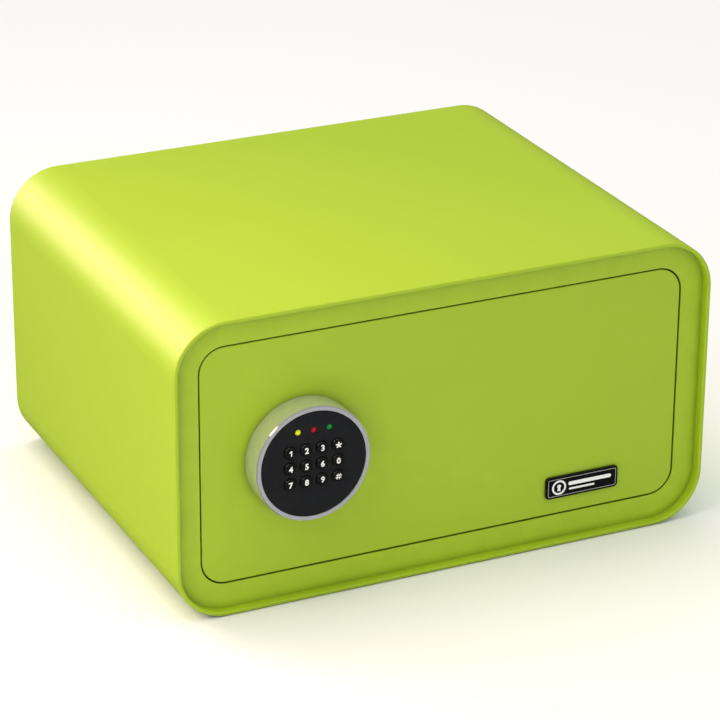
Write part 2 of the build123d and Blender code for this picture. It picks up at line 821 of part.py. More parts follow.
with BuildPart() as bolt_screws:
    with BuildSketch(Plane.YZ.offset(flange_x + bar_thickness)):
        with Locations(*[(bolt_y, z) for z in bolt_heights]):
            Circle(bolt_screw_radius)
    extrude(amount=-bolt_screw_length)
    with BuildSketch(Plane.YZ.offset(flange_x + bar_thickness)):
        with Locations(*[(bolt_y, z) for z in bolt_heights]):
            Circle(bolt_screw_head_radius)
    extrude(amount=bolt_screw_head_height)
write(bolt_screws, "bolt_screws")

guide_screw_heights = (-guide_half_height + guide_foot / 2, 0, guide_half_height - guide_foot / 2)
with BuildPart() as bolt_guide:
    with BuildSketch(facing_front(door_back_y, guide_x - guide_thickness / 2, knob_z)):
        Rectangle(guide_thickness, 2 * guide_half_height)
    extrude(amount=-guide_depth)
    with BuildSketch(facing_front(door_back_y, guide_x + guide_foot / 2, knob_z)):
        Rectangle(guide_foot, 2 * guide_half_height)
    extrude(amount=-guide_thickness)
    with BuildSketch(facing_front(door_back_y, guide_x + guide_foot / 2, knob_z)):
        with Locations(*[(0, z) for z in guide_screw_heights]):
            Circle(guide_screw_radius)
    extrude(amount=-guide_thickness, mode=Mode.SUBTRACT)
    with BuildSketch(Plane.YZ.offset(guide_x)):
        with Locations(*[(bolt_y, z) for z in bolt_heights]):
            Circle(bolt_radius + bolt_running_fit)
    extrude(amount=-guide_thickness, mode=Mode.SUBTRACT)
write(bolt_guide, "bolt_guide")

with BuildPart() as guide_screws:
    with BuildSketch(facing_front(door_back_y, guide_x + guide_foot / 2, knob_z)):
        with Locations(*[(0, z) for z in guide_screw_heights]):
            Circle(guide_screw_radius)
    extrude(amount=-guide_thickness)
    with BuildSketch(facing_front(door_back_y + guide_thickness, guide_x + guide_foot / 2, knob_z)):
        with Locations(*[(0, z) for z in guide_screw_heights]):
            Circle(guide_screw_head_radius)
    extrude(amount=-guide_screw_head_height)
write(guide_screws, "guide_screws")

stud_places = [(x, z) for x in stud_columns for z in (-stud_row, stud_row)]
with BuildPart() as guide_studs:
    with BuildSketch(facing_front(door_back_y, knob_x, knob_z)):
        with Locations(*stud_places):
            Circle(stud_base_radius)
    extrude(amount=door_back_y - bar_front_y + running_gap)
    with BuildSketch(facing_front(door_back_y, knob_x, knob_z)):
        with Locations(*stud_places):
            Circle(stud_neck_radius)
    extrude(amount=door_back_y - bar_back_y - stud_end)
write(guide_studs, "guide_studs")

with BuildPart() as guide_nuts:
    with BuildSketch(facing_front(bar_back_y + running_gap, knob_x, knob_z)):
        with Locations(*stud_places):
            RegularPolygon(nut_across / 2, 6, major_radius=False)
            Circle(stud_neck_radius, mode=Mode.SUBTRACT)
    extrude(amount=-nut_thickness)
write(guide_nuts, "guide_nuts")

# --- Solenoid ----------------------------------------------------------------------------------
frame_bottom = tongue_top + solenoid_rise
frame_top = frame_bottom + solenoid_height
ear_heights = (frame_bottom - solenoid_ear / 2, frame_top + solenoid_ear / 2)
with BuildPart() as solenoid_frame:
    with BuildSketch(facing_front(door_back_y, solenoid_x, (frame_bottom + frame_top) / 2)):
        Rectangle(2 * solenoid_half_width, solenoid_height + 2 * solenoid_ear)
    extrude(amount=-solenoid_sheet)
    with BuildSketch(Plane.XY.offset(frame_bottom), Plane.XY.offset(frame_top - solenoid_sheet)):
        with Locations((solenoid_x, door_back_y + solenoid_reach / 2)):
            Rectangle(2 * solenoid_half_width, solenoid_reach)
    extrude(amount=solenoid_sheet)
    with BuildSketch(Plane.XY.offset(frame_bottom)):
        with Locations((solenoid_x, solenoid_y)):
            Circle(plunger_radius + plunger_bore_gap)
    extrude(amount=solenoid_height, mode=Mode.SUBTRACT)
    with BuildSketch(facing_front(door_back_y, solenoid_x, 0)):
        with Locations(*[(0, z) for z in ear_heights]):
            Circle(solenoid_screw_radius)
    extrude(amount=-solenoid_sheet, mode=Mode.SUBTRACT)
write(solenoid_frame, "solenoid_frame")

with BuildPart() as solenoid_screws:
    with BuildSketch(facing_front(door_back_y, solenoid_x, 0)):
        with Locations(*[(0, z) for z in ear_heights]):
            Circle(solenoid_screw_radius)
    extrude(amount=-solenoid_sheet)
    with BuildSketch(facing_front(door_back_y + solenoid_sheet, solenoid_x, 0)):
        with Locations(*[(0, z) for z in ear_heights]):
            Circle(solenoid_screw_head_radius)
    extrude(amount=-solenoid_screw_head_height)
write(solenoid_screws, "solenoid_screws")

coil_length = solenoid_height - 2 * solenoid_sheet
with BuildPart() as solenoid_coil:
    with BuildSketch(Plane.XY.offset(coil_bottom)):
        with Locations((solenoid_x, solenoid_y)):
            Circle(coil_radius)
            Circle(plunger_radius + plunger_bore_gap, mode=Mode.SUBTRACT)
    extrude(amount=coil_length)
write(solenoid_coil, "solenoid_coil")

with BuildPart() as plunger:
    with BuildSketch(Plane.XY.offset(plunger_tip)):
        with Locations((solenoid_x, solenoid_y)):
            Circle(plunger_radius)
    extrude(amount=plunger_length)
    with BuildSketch(Plane.XY.offset(plunger_tip + collar_rise)):
        with Locations((solenoid_x, solenoid_y)):
            Circle(collar_radius)
    extrude(amount=collar_thickness)
write(plunger, "plunger")

spring_start = collar_top + spring_wire_radius
spring_height = frame_bottom - spring_wire_radius - spring_start
with BuildPart() as plunger_spring:
    with BuildLine():
        coil_line = Helix(
            pitch=spring_height / spring_turns,
            height=spring_height,
            radius=spring_radius,
            center=(solenoid_x, solenoid_y, spring_start),
        )
    with BuildSketch(Plane(origin=coil_line @ 0, z_dir=coil_line % 0)):
        Circle(spring_wire_radius)
    sweep(is_frenet=True)
write(plunger_spring, "plunger_spring")

# --- Back cover of the door --------------------------------------------------------------------
box_window_length = box_inner_length - 2 * window_rim
box_window_height = box_inner_height - 2 * window_rim
rim_width = cover_width + 2 * cover_rim
rim_height = cover_height + 2 * cover_rim
cover_screw_step = (rim_width - 2 * cover_screw_inset) / (cover_screw_columns - 1)
cover_screw_places = [
    (cover_x - rim_width / 2 + cover_screw_inset + n * cover_screw_step, z)
    for n in range(cover_screw_columns)
    for z in (-(cover_height + cover_rim) / 2, (cover_height + cover_rim) / 2)
]

with BuildPart() as door_back_cover:
    with BuildSketch(facing_front(door_back_y, cover_x, middle_z)):
        RectangleRounded(rim_width, rim_height, cover_radius + cover_rim)
    extrude(amount=-cover_sheet)
    with BuildSketch(facing_front(door_back_y, cover_x, middle_z)):
        RectangleRounded(cover_width, cover_height, cover_radius)
    extrude(amount=-cover_depth)
    fillet(door_back_cover.edges().group_by(Axis.Y)[-1], radius=cover_sheet * 2)
    with BuildSketch(facing_front(door_back_y, cover_x, middle_z)):
        RectangleRounded(
            cover_width - 2 * cover_sheet, cover_height - 2 * cover_sheet, cover_radius - cover_sheet
        )
    extrude(amount=-cover_depth + cover_sheet, mode=Mode.SUBTRACT)
    with BuildSketch(facing_front(cover_inner_y, 0, 0)):
        with Locations((box_x, knob_z)):
            Rectangle(box_window_length, box_window_height)
        with Locations((reset_x, reset_z)):
            Circle(reset_radius + reset_gap)
    extrude(amount=-cover_sheet, mode=Mode.SUBTRACT)
    with BuildSketch(facing_front(door_back_y, 0, middle_z)):
        with Locations(*cover_screw_places):
            Circle(cover_screw_radius)
    extrude(amount=-cover_sheet, mode=Mode.SUBTRACT)
    with BuildSketch(Plane.YZ.offset(cover_left)):
        with Locations(*[(bolt_y, z) for z in bolt_heights]):
            Circle(bolt_radius + bolt_hole_gap)
    extrude(amount=cover_sheet, mode=Mode.SUBTRACT)
write(door_back_cover, "door_back_cover")

with BuildPart() as cover_screws:
    with BuildSketch(facing_front(door_back_y, 0, middle_z)):
        with Locations(*cover_screw_places):
            Circle(cover_screw_radius)
    extrude(amount=-cover_sheet)
    with BuildSketch(facing_front(door_back_y + cover_sheet, 0, middle_z)):
        with Locations(*cover_screw_places):
            Circle(cover_screw_head_radius)
    extrude(amount=-cover_screw_head_height)
write(cover_screws, "cover_screws")

# --- Batteries ---------------------------------------------------------------------------------
with BuildPart() as battery_box:
    with BuildSketch(facing_front(box_floor_y, box_x, knob_z)):
        Rectangle(box_length, box_height)
    extrude(amount=-box_depth)
    with BuildSketch(facing_front(box_floor_y + box_wall, box_x, knob_z)):
        Rectangle(box_inner_length, box_inner_height)
    extrude(amount=-box_depth + box_wall, mode=Mode.SUBTRACT)
write(battery_box, "battery_box")

with BuildPart() as battery_contacts:
    with BuildSketch(facing_front(box_floor_y + box_wall, box_x, knob_z)):
        with GridLocations(box_inner_length - contact_thickness, battery_pitch, 2, battery_count):
            Rectangle(contact_thickness, contact_width)
    extrude(amount=-2 * battery_radius)
write(battery_contacts, "battery_contacts")

with BuildPart() as batteries:
    for n in range(battery_count):
        z = knob_z + (n - (battery_count - 1) / 2) * battery_pitch
        turn = 1 if n % 2 else -1
        middle = Plane(origin=(box_x - turn * battery_tip_height / 2, battery_y, z), z_dir=(turn, 0, 0))
        with BuildSketch(middle.offset(-battery_length / 2)):
            Circle(battery_radius)
        extrude(amount=battery_length)
        with BuildSketch(middle.offset(battery_length / 2)):
            Circle(battery_tip_radius)
        extrude(amount=battery_tip_height)
write(batteries, "batteries")

with BuildPart() as battery_cover:
    with BuildSketch(facing_front(cover_back_y + hatch_lift, box_x, knob_z)):
        RectangleRounded(
            box_window_length + 2 * hatch_flange, box_window_height + 2 * hatch_flange, hatch_flange
        )
    extrude(amount=-hatch_thickness)
    fillet(battery_cover.edges().group_by(Axis.Y)[-1], radius=hatch_thickness / 3)
    with BuildSketch(facing_front(cover_back_y + hatch_lift, box_x, knob_z)):
        Rectangle(box_window_length - 2 * running_gap, box_window_height - 2 * running_gap)
        Rectangle(
            box_window_length - 2 * running_gap - 2 * hatch_thickness,
            box_window_height - 2 * running_gap - 2 * hatch_thickness,
            mode=Mode.SUBTRACT,
        )
    extrude(amount=cover_sheet + hatch_lift)
    with BuildSketch(facing_front(cover_back_y + hatch_lift + hatch_thickness, box_x, knob_z)):
        with GridLocations(grip_rib_pitch, 0, grip_rib_count, 1):
            RectangleRounded(grip_rib_width, grip_rib_length, grip_rib_radius)
    extrude(amount=-grip_rib_height)
write(battery_cover, "battery_cover")

# --- Control board -----------------------------------------------------------------------------
chip_size = 14.0
relay_size = (19.0, 15.0, 11.0)
capacitor_radius = 4.0
capacitor_height = 12.0
with BuildPart() as control_board:
    with BuildSketch(facing_front(pcb_front_y, pcb_x, knob_z)):
        Rectangle(pcb_width, pcb_height)
    extrude(amount=-board_thickness)
    with BuildSketch(facing_front(pcb_back_y, pcb_x, knob_z)):
        with Locations((-pcb_width / 2 + pcb_socket[0] / 2, 0)):
            Rectangle(pcb_socket[0], pcb_socket[1])
    extrude(amount=-pcb_socket[2])
    with BuildSketch(facing_front(pcb_back_y, pcb_x, knob_z)):
        with Locations((0, -pcb_height / 8)):
            Rectangle(chip_size, chip_size)
    extrude(amount=-board_thickness)
    with BuildSketch(facing_front(pcb_back_y, pcb_x, knob_z)):
        with Locations((pcb_width / 4, pcb_height / 4)):
            Rectangle(relay_size[0], relay_size[1])
    extrude(amount=-relay_size[2])
    with BuildSketch(facing_front(pcb_back_y, pcb_x, knob_z)):
        with Locations((-pcb_width / 8, pcb_height / 4)):
            Circle(capacitor_radius)
    extrude(amount=-capacitor_height)
    with BuildSketch(facing_front(pcb_back_y, reset_x, reset_z)):
        Rectangle(reset_switch_size, reset_switch_size)
    extrude(amount=-reset_switch_height)
write(control_board, "control_board")

with BuildPart() as board_standoffs:
    with BuildSketch(facing_front(door_back_y, pcb_x, knob_z)):
        with GridLocations(pcb_width - 2 * standoff_inset, pcb_height - 2 * standoff_inset, 2, 2):
            Circle(standoff_radius)
    extrude(amount=-pcb_stand)
write(board_standoffs, "board_standoffs")

with BuildPart() as reset_button:
    with BuildSketch(facing_front(cover_back_y + reset_proud, reset_x, reset_z)):
        Circle(reset_radius)
    extrude(amount=cover_back_y + reset_proud - reset_switch_y - reset_travel - running_gap)
    fillet(reset_button.edges().group_by(Axis.Y)[-1], radius=reset_radius / 5)
    with BuildSketch(facing_front(cover_inner_y - running_gap, reset_x, reset_z)):
        Circle(reset_flange_radius)
    extrude(amount=reset_flange_thickness)
write(reset_button, "reset_button")

# The keypad's cable leaves the back of its board, passes through the hollow spigot and the
# bolt bar's window, and turns along the door to the control board's socket.
cable_start = (knob_x, face_y - board_back, knob_z)
cable_corner = (knob_x, cable_y, knob_z)
cable_end = (pcb_x - pcb_width / 2, cable_y, knob_z)
with BuildPart() as keypad_cable:
    with BuildLine() as cable_line:
        FilletPolyline(cable_start, cable_corner, cable_end, radius=cable_bend_radius)
    with BuildSketch(Plane(origin=cable_line.line @ 0, z_dir=cable_line.line % 0)):
        Circle(cable_radius)
    sweep()
write(keypad_cable, "keypad_cable")
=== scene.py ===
"""Small electronic floor safe: paint, metals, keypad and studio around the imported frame."""
import json
import math

import bmesh
import bpy
from bpy.props import FloatProperty, FloatVectorProperty, PointerProperty
from mathutils import Matrix, Vector, noise
from mathutils.bvhtree import BVHTree

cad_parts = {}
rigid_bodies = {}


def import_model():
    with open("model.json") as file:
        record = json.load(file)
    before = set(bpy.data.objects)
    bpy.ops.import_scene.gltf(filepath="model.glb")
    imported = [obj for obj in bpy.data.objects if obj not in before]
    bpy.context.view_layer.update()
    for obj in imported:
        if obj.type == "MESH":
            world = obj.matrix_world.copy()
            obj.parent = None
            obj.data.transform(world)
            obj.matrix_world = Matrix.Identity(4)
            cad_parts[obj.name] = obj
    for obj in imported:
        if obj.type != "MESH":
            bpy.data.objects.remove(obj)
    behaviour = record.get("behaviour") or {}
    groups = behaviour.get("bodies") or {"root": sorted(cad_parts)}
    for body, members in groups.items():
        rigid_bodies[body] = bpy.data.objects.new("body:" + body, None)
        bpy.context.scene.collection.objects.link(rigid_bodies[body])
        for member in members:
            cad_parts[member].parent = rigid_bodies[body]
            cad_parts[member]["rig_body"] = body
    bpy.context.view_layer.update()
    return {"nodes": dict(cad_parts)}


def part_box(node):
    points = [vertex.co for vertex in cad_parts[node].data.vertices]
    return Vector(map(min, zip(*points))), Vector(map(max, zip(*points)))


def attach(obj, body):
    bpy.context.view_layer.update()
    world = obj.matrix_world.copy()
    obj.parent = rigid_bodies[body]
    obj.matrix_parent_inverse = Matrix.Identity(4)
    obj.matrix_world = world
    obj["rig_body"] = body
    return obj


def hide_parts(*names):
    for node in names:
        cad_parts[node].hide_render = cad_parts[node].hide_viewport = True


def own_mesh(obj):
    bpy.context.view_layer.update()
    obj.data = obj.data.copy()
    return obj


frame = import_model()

bl_info = {
    "name": "Electronic Safe Looks",
    "version": (1, 0, 0),
    "blender": (4, 5, 0),
    "location": "View3D > Sidebar > Safe",
    "description": "Dresses the safe's frame with paint, metals, keypad marks and a studio",
    "category": "Object",
}

NODES = frame["nodes"]


def in_scene(name, data):
    """A new object of the scene that holds the data."""
    made = bpy.data.objects.new(name, data)
    bpy.context.scene.collection.objects.link(made)
    return made


def middle(node):
    low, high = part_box(node)
    return (low + high) / 2


KNOB_AXIS = middle("knob_ring")
TAU = 2 * math.pi


# ---------------------------------------------------------------- settings


class SafePaintSettings(bpy.types.PropertyGroup):
    paint: FloatVectorProperty(
        name="Paint", description="Colour of the cabinet and door paint",
        default=(0.410, 0.615, 0.011), subtype="COLOR", min=0, max=1)
    paint_peel: FloatProperty(
        name="Orange peel", description="Height of the paint's fine ripple",
        default=0.00003, unit="LENGTH", min=0, max=0.0005)
    paint_wear: FloatProperty(
        name="Edge wear", description="How far the paint thins along sharp edges",
        default=0.35, subtype="FACTOR", min=0, max=1)
    dust: FloatProperty(
        name="Dust", description="Fine dust that lies on faces that look up",
        default=0.015, subtype="FACTOR", min=0, max=1)


class SafeLockSettings(bpy.types.PropertyGroup):
    chrome: FloatVectorProperty(
        name="Chrome", description="Colour of the plated knob ring",
        default=(0.80, 0.81, 0.82), subtype="COLOR", min=0, max=1)
    keypad: FloatVectorProperty(
        name="Keypad", description="Colour of the moulded keypad face",
        default=(0.014, 0.0150, 0.0182), subtype="COLOR", min=0, max=1)
    legend: FloatVectorProperty(
        name="Legends", description="Colour of the printed key legends",
        default=(0.95, 0.96, 0.97), subtype="COLOR", min=0, max=1)
    legend_height: FloatProperty(
        name="Legend height", description="Height of a printed digit",
        default=0.0043, unit="LENGTH", min=0.001, max=0.01)


class SafeStudioSettings(bpy.types.PropertyGroup):
    floor: FloatVectorProperty(
        name="Floor", description="Colour of the studio floor",
        default=(0.94, 0.96, 1.00), subtype="COLOR", min=0, max=1)
    sky: FloatProperty(
        name="Sky", description="Strength of the soft light from all round",
        default=0.76, min=0, max=5)
    key: FloatProperty(
        name="Key light", description="Power of the large soft light overhead",
        default=31.8, unit="POWER", min=0, max=5000)
    side: FloatProperty(
        name="Side light", description="Power of the near soft light on the left",
        default=1.05, unit="POWER", min=0, max=5000)
    back: FloatProperty(
        name="Back light", description="Power of the soft light behind and to the left",
        default=1.05, unit="POWER", min=0, max=5000)
    edge: FloatProperty(
        name="Edge light", description="Power of the small light for the rounded front corner",
        default=0.92, unit="POWER", min=0, max=5000)
    camera_turn: FloatProperty(
        name="Camera turn", description="Where the camera stands round the safe",
        default=math.radians(-25.288), subtype="ANGLE")
    camera_rise: FloatProperty(
        name="Camera rise", description="How far the camera looks down",
        default=math.radians(23.679), subtype="ANGLE")
    camera_roll: FloatProperty(
        name="Camera roll", description="How far the camera leans",
        default=math.radians(0.387), subtype="ANGLE")
    camera_away: FloatProperty(
        name="Camera distance", description="From the camera to the middle of the safe",
        default=2.4678, unit="LENGTH", min=0.5, max=20)
    lens: FloatProperty(
        name="Lens", description="Focal length for a 36 mm sensor",
        default=159.66, min=20, max=400)


# ---------------------------------------------------------------- shared effects


class Effect:
    """A shader node group under construction, with named inputs and outputs."""

    def __init__(self, name, inputs, outputs):
        self.tree = bpy.data.node_groups.new(name, "ShaderNodeTree")
        for socket, kind, default in inputs:
            made = self.tree.interface.new_socket(socket, in_out="INPUT", socket_type=kind)
            if default is not None:
                made.default_value = default
        for socket, kind in outputs:
            self.tree.interface.new_socket(socket, in_out="OUTPUT", socket_type=kind)
        self.inlet = self.tree.nodes.new("NodeGroupInput")
        self.outlet = self.tree.nodes.new("NodeGroupOutput")

    def add(self, kind, settings=None, **inputs):
        return add_node(self.tree, kind, settings, **inputs)

    def give(self, **outputs):
        for socket, source in outputs.items():
            self.tree.links.new(source, self.outlet.inputs[socket.replace("_", " ")])


def add_node(tree, kind, settings=None, **inputs):
    """Add a node; inputs are values or sockets, with spaces written as underscores."""
    node = tree.nodes.new(kind)
    for name, value in (settings or {}).items():
        setattr(node, name, value)
    for name, value in inputs.items():
        key = int(name[1:]) if name[0] == "i" and name[1:].isdigit() else name.replace("_", " ")
        if isinstance(value, bpy.types.NodeSocket):
            tree.links.new(value, node.inputs[key])
        else:
            node.inputs[key].default_value = value
    return node


FLOAT, VECTOR = "NodeSocketFloat", "NodeSocketVector"


def maths(owner, operation, first, second):
    return owner.add("ShaderNodeMath", {"operation": operation}, i0=first,
                     i1=second).outputs[0]


def spread(effect, value, low, high, from_low=0.0, from_high=1.0):
    """Map a 0..1 value onto another range."""
    return effect.add("ShaderNodeMapRange", None, Value=value, From_Min=from_low,
                      From_Max=from_high, To_Min=low, To_Max=high).outputs[0]


def inverse(effect, size):
    """One over a size input, as a texture scale."""
    return maths(effect, "DIVIDE", 1.0, effect.inlet.outputs[size])


def make_mottle():
    """Slow, cloudy change of tone with a finer grain over it."""
    e = Effect("mottle", [("Size", FLOAT, 0.04), ("Grain Size", FLOAT, 0.001),
                          ("Grain Share", FLOAT, 0.3)], [("Value", FLOAT)])
    place = e.add("ShaderNodeTexCoord").outputs["Object"]
    scales = [inverse(e, size) for size in ("Size", "Grain Size")]
    cloud = e.add("ShaderNodeTexNoise", None, Vector=place, Scale=scales[0], Detail=3.0)
    grain = e.add("ShaderNodeTexNoise", None, Vector=place, Scale=scales[1], Detail=2.0)
    mixed = e.add("ShaderNodeMix", {"data_type": "FLOAT"}, Factor=e.inlet.outputs["Grain Share"],
                  A=cloud.outputs[0], B=grain.outputs[0])
    e.give(Value=spread(e, mixed.outputs[0], 0, 1, 0.3, 0.7))
    return e.tree


def make_orange_peel():
    """Ripple of sprayed paint: soft cells with a finer powder texture."""
    e = Effect("orange_peel", [("Cell Size", FLOAT, 0.0016), ("Powder Share", FLOAT, 0.25)],
               [("Height", FLOAT)])
    place = e.add("ShaderNodeTexCoord").outputs["Object"]
    scale = inverse(e, "Cell Size")
    fine = maths(e, "MULTIPLY", scale, 3.7)
    cells = e.add("ShaderNodeTexVoronoi", {"feature": "SMOOTH_F1"}, Vector=place, Scale=scale,
                  Smoothness=1.0)
    powder = e.add("ShaderNodeTexNoise", None, Vector=place, Scale=fine, Detail=2.0)
    both = e.add("ShaderNodeMix", {"data_type": "FLOAT"}, Factor=e.inlet.outputs["Powder Share"],
                 A=cells.outputs["Distance"], B=powder.outputs[0])
    e.give(Height=both.outputs[0])
    return e.tree


def make_edge_wear():
    """Mask of sharp outer edges, broken up so that it never reads as a line."""
    e = Effect("edge_wear", [("Start", FLOAT, 0.53), ("Full", FLOAT, 0.62),
                             ("Patch Size", FLOAT, 0.01)], [("Mask", FLOAT)])
    geometry = e.add("ShaderNodeNewGeometry")
    place = e.add("ShaderNodeTexCoord").outputs["Object"]
    scale = inverse(e, "Patch Size")
    patch = e.add("ShaderNodeTexNoise", None, Vector=place, Scale=scale, Detail=4.0)
    edge = e.add("ShaderNodeMapRange", None, Value=geometry.outputs["Pointiness"],
                 From_Min=e.inlet.outputs["Start"], From_Max=e.inlet.outputs["Full"])
    broken = spread(e, patch.outputs[0], 0, 1, 0.42, 0.6)
    e.give(Mask=maths(e, "MULTIPLY", edge.outputs[0], broken))
    return e.tree


def make_settled_dust():
    """Fine specks on faces that look up."""
    e = Effect("settled_dust", [("Amount", FLOAT, 0.1), ("Speck Size", FLOAT, 0.0006)],
               [("Mask", FLOAT)])
    geometry = e.add("ShaderNodeNewGeometry")
    up = e.add("ShaderNodeSeparateXYZ", None, Vector=geometry.outputs["Normal"]).outputs["Z"]
    place = e.add("ShaderNodeTexCoord").outputs["Object"]
    scale = inverse(e, "Speck Size")
    specks = e.add("ShaderNodeTexNoise", None, Vector=place, Scale=scale, Detail=3.0)
    lie = spread(e, up, 0, 1, 0.3, 0.95)
    dotted = spread(e, specks.outputs[0], 0.2, 1, 0.55, 0.75)
    laid = maths(e, "MULTIPLY", lie, dotted)
    e.give(Mask=maths(e, "MULTIPLY", laid, e.inlet.outputs["Amount"]))
    return e.tree


def make_turned_lines():
    """Fine rings round an axis that runs along Y, as a lathe or spun brush leaves."""
    e = Effect("turned_lines", [("Centre", VECTOR, None), ("Ring Spacing", FLOAT, 0.0002)],
               [("Height", FLOAT)])
    place = e.add("ShaderNodeTexCoord").outputs["Object"]
    from_axis = e.add("ShaderNodeVectorMath", {"operation": "SUBTRACT"}, i0=place,
                      i1=e.inlet.outputs["Centre"]).outputs[0]
    parts = e.add("ShaderNodeSeparateXYZ", None, Vector=from_axis)
    flat = e.add("ShaderNodeCombineXYZ", None, X=parts.outputs["X"], Y=parts.outputs["Z"])
    radius = e.add("ShaderNodeVectorMath", {"operation": "LENGTH"}, i0=flat.outputs[0])
    reach = maths(e, "DIVIDE", radius.outputs["Value"], e.inlet.outputs["Ring Spacing"])
    depth = maths(e, "DIVIDE", parts.outputs["Y"], e.inlet.outputs["Ring Spacing"])
    turned = e.add("ShaderNodeCombineXYZ", None, X=reach, Y=depth)
    rings = e.add("ShaderNodeTexNoise", None, Vector=turned.outputs[0], Scale=1.0, Detail=3.0)
    e.give(Height=rings.outputs[0])
    return e.tree


def make_rolled_streaks():
    """Long faint streaks of rolled or ground metal along one direction."""
    e = Effect("rolled_streaks", [("Stretch", VECTOR, None), ("Streak Size", FLOAT, 0.0004)],
               [("Value", FLOAT)])
    place = e.add("ShaderNodeTexCoord").outputs["Object"]
    thin = e.add("ShaderNodeVectorMath", {"operation": "DIVIDE"}, i0=place,
                 i1=e.inlet.outputs["Stretch"]).outputs[0]
    scale = inverse(e, "Streak Size")
    streaks = e.add("ShaderNodeTexNoise", None, Vector=thin, Scale=scale, Detail=4.0)
    e.give(Value=spread(e, streaks.outputs[0], 0, 1, 0.3, 0.7))
    return e.tree


def make_crevice():
    """Painted shade: a mask of narrow gaps and inner corners, where the surrounding light doesn't
    reach.
    """
    e = Effect("crevice", [("Reach", FLOAT, 0.004), ("Sharpness", FLOAT, 1.5)],
               [("Mask", FLOAT)])
    near = e.add("ShaderNodeAmbientOcclusion", {"samples": 6},
                 Distance=e.inlet.outputs["Reach"])
    closed = maths(e, "SUBTRACT", 1.0, near.outputs["AO"])
    e.give(Mask=maths(e, "POWER", closed, e.inlet.outputs["Sharpness"]))
    return e.tree


EFFECTS = {}


def make_effects():
    for make in (make_mottle, make_orange_peel, make_edge_wear, make_settled_dust,
                 make_turned_lines, make_rolled_streaks, make_crevice):
        tree = make()
        EFFECTS[tree.name] = tree


# ---------------------------------------------------------------- finishes


class Finish:
    """One material: its node tree and short calls that add effects to it."""

    def __init__(self, name, **plain):
        self.material = bpy.data.materials.new(name)
        self.material.use_nodes = True
        self.tree = self.material.node_tree
        self.shader = self.tree.nodes["Principled BSDF"]
        for socket, value in plain.items():
            self.shader.inputs[socket.replace("_", " ")].default_value = value

    def add(self, kind, settings=None, **inputs):
        return add_node(self.tree, kind, settings, **inputs)

    def effect(self, name, **inputs):
        node = self.add("ShaderNodeGroup", {"node_tree": EFFECTS[name]}, **inputs)
        return node.outputs[0]

    def feed(self, socket, source):
        self.tree.links.new(source, self.shader.inputs[socket])

    def tone(self, mask, first, second):
        """Mix two colours or colour sockets by a mask."""
        first, second = ((*c, 1.0) if isinstance(c, (tuple, list)) else c
                         for c in (first, second))
        mix = self.tree.nodes.new("ShaderNodeMix")
        mix.data_type = "RGBA"
        for socket, value in ((mix.inputs[0], mask), (mix.inputs[6], first),
                              (mix.inputs[7], second)):
            if isinstance(value, bpy.types.NodeSocket):
                self.tree.links.new(value, socket)
            else:
                socket.default_value = value
        return mix.outputs[2]

    def roughness(self, mask, low, high):
        self.feed("Roughness", spread(self, mask, low, high))

    def bump(self, height, distance, strength=1.0):
        """Add a bump on top of any that is already there."""
        bump = self.add("ShaderNodeBump", None, Height=height, Distance=distance,
                        Strength=strength)
        old = self.shader.inputs["Normal"]
        if old.is_linked:
            self.tree.links.new(old.links[0].from_socket, bump.inputs["Normal"])
        self.feed("Normal", bump.outputs[0])


def shade(colour, amount):
    return tuple(min(1.0, c * amount) for c in colour)


def lime_paint(name, settings):
    paint = tuple(settings.paint)
    f = Finish(name, IOR=1.85, Coat_Weight=0.15, Coat_Roughness=0.5,
               Specular_Tint=(1.0, 0.84, 0.6, 1.0))
    clouds = f.effect("mottle", Size=0.07, Grain_Size=0.0009, Grain_Share=0.25)
    wear = f.effect("edge_wear", Start=0.56, Full=0.72, Patch_Size=0.012)
    dust = f.effect("settled_dust", Amount=settings.dust, Speck_Size=0.0005)
    worn = maths(f, "MULTIPLY", wear, settings.paint_wear)
    base = f.tone(clouds, shade(paint, 0.994), shade(paint, 1.006))
    # painted shade: the paint is darkened towards 12 % of its colour in gaps, the door seam and
    # inner corners
    painted_shade_mask = f.effect("crevice", Reach=0.007, Sharpness=1.6)
    with_painted_shade = f.tone(painted_shade_mask, base, shade(paint, 0.12))
    edged = f.tone(worn, with_painted_shade, shade(paint, 1.35))
    f.feed("Base Color", f.tone(dust, edged, (0.75, 0.74, 0.68)))
    f.roughness(clouds, 0.47, 0.51)
    f.bump(f.effect("orange_peel", Cell_Size=0.0021, Powder_Share=0.2), settings.paint_peel)
    return f.material


def metal(name, colour, rough, streak=None, centre=None, spacing=0.0002, depth=2e-6,
          patch=0.02, tarnish=0.86, wear=0.25, metallic=0.85):
    """Bare or plated metal with mottling and either streaks or turned rings."""
    f = Finish(name, Metallic=metallic)
    clouds = f.effect("mottle", Size=patch, Grain_Size=0.0004, Grain_Share=0.35)
    edge = f.effect("edge_wear", Start=0.55, Full=0.7, Patch_Size=0.004)
    bright = maths(f, "MULTIPLY", edge, wear)
    if centre is not None:
        lines = f.effect("turned_lines", Centre=centre, Ring_Spacing=spacing)
    else:
        lines = f.effect("rolled_streaks", Stretch=streak or (30.0, 1.0, 1.0),
                         Streak_Size=spacing)
    base = f.tone(clouds, shade(colour, tarnish), colour)
    f.feed("Base Color", f.tone(bright, base, shade(colour, 1.3)))
    f.roughness(lines, *rough)
    f.bump(lines, depth)
    return f.material


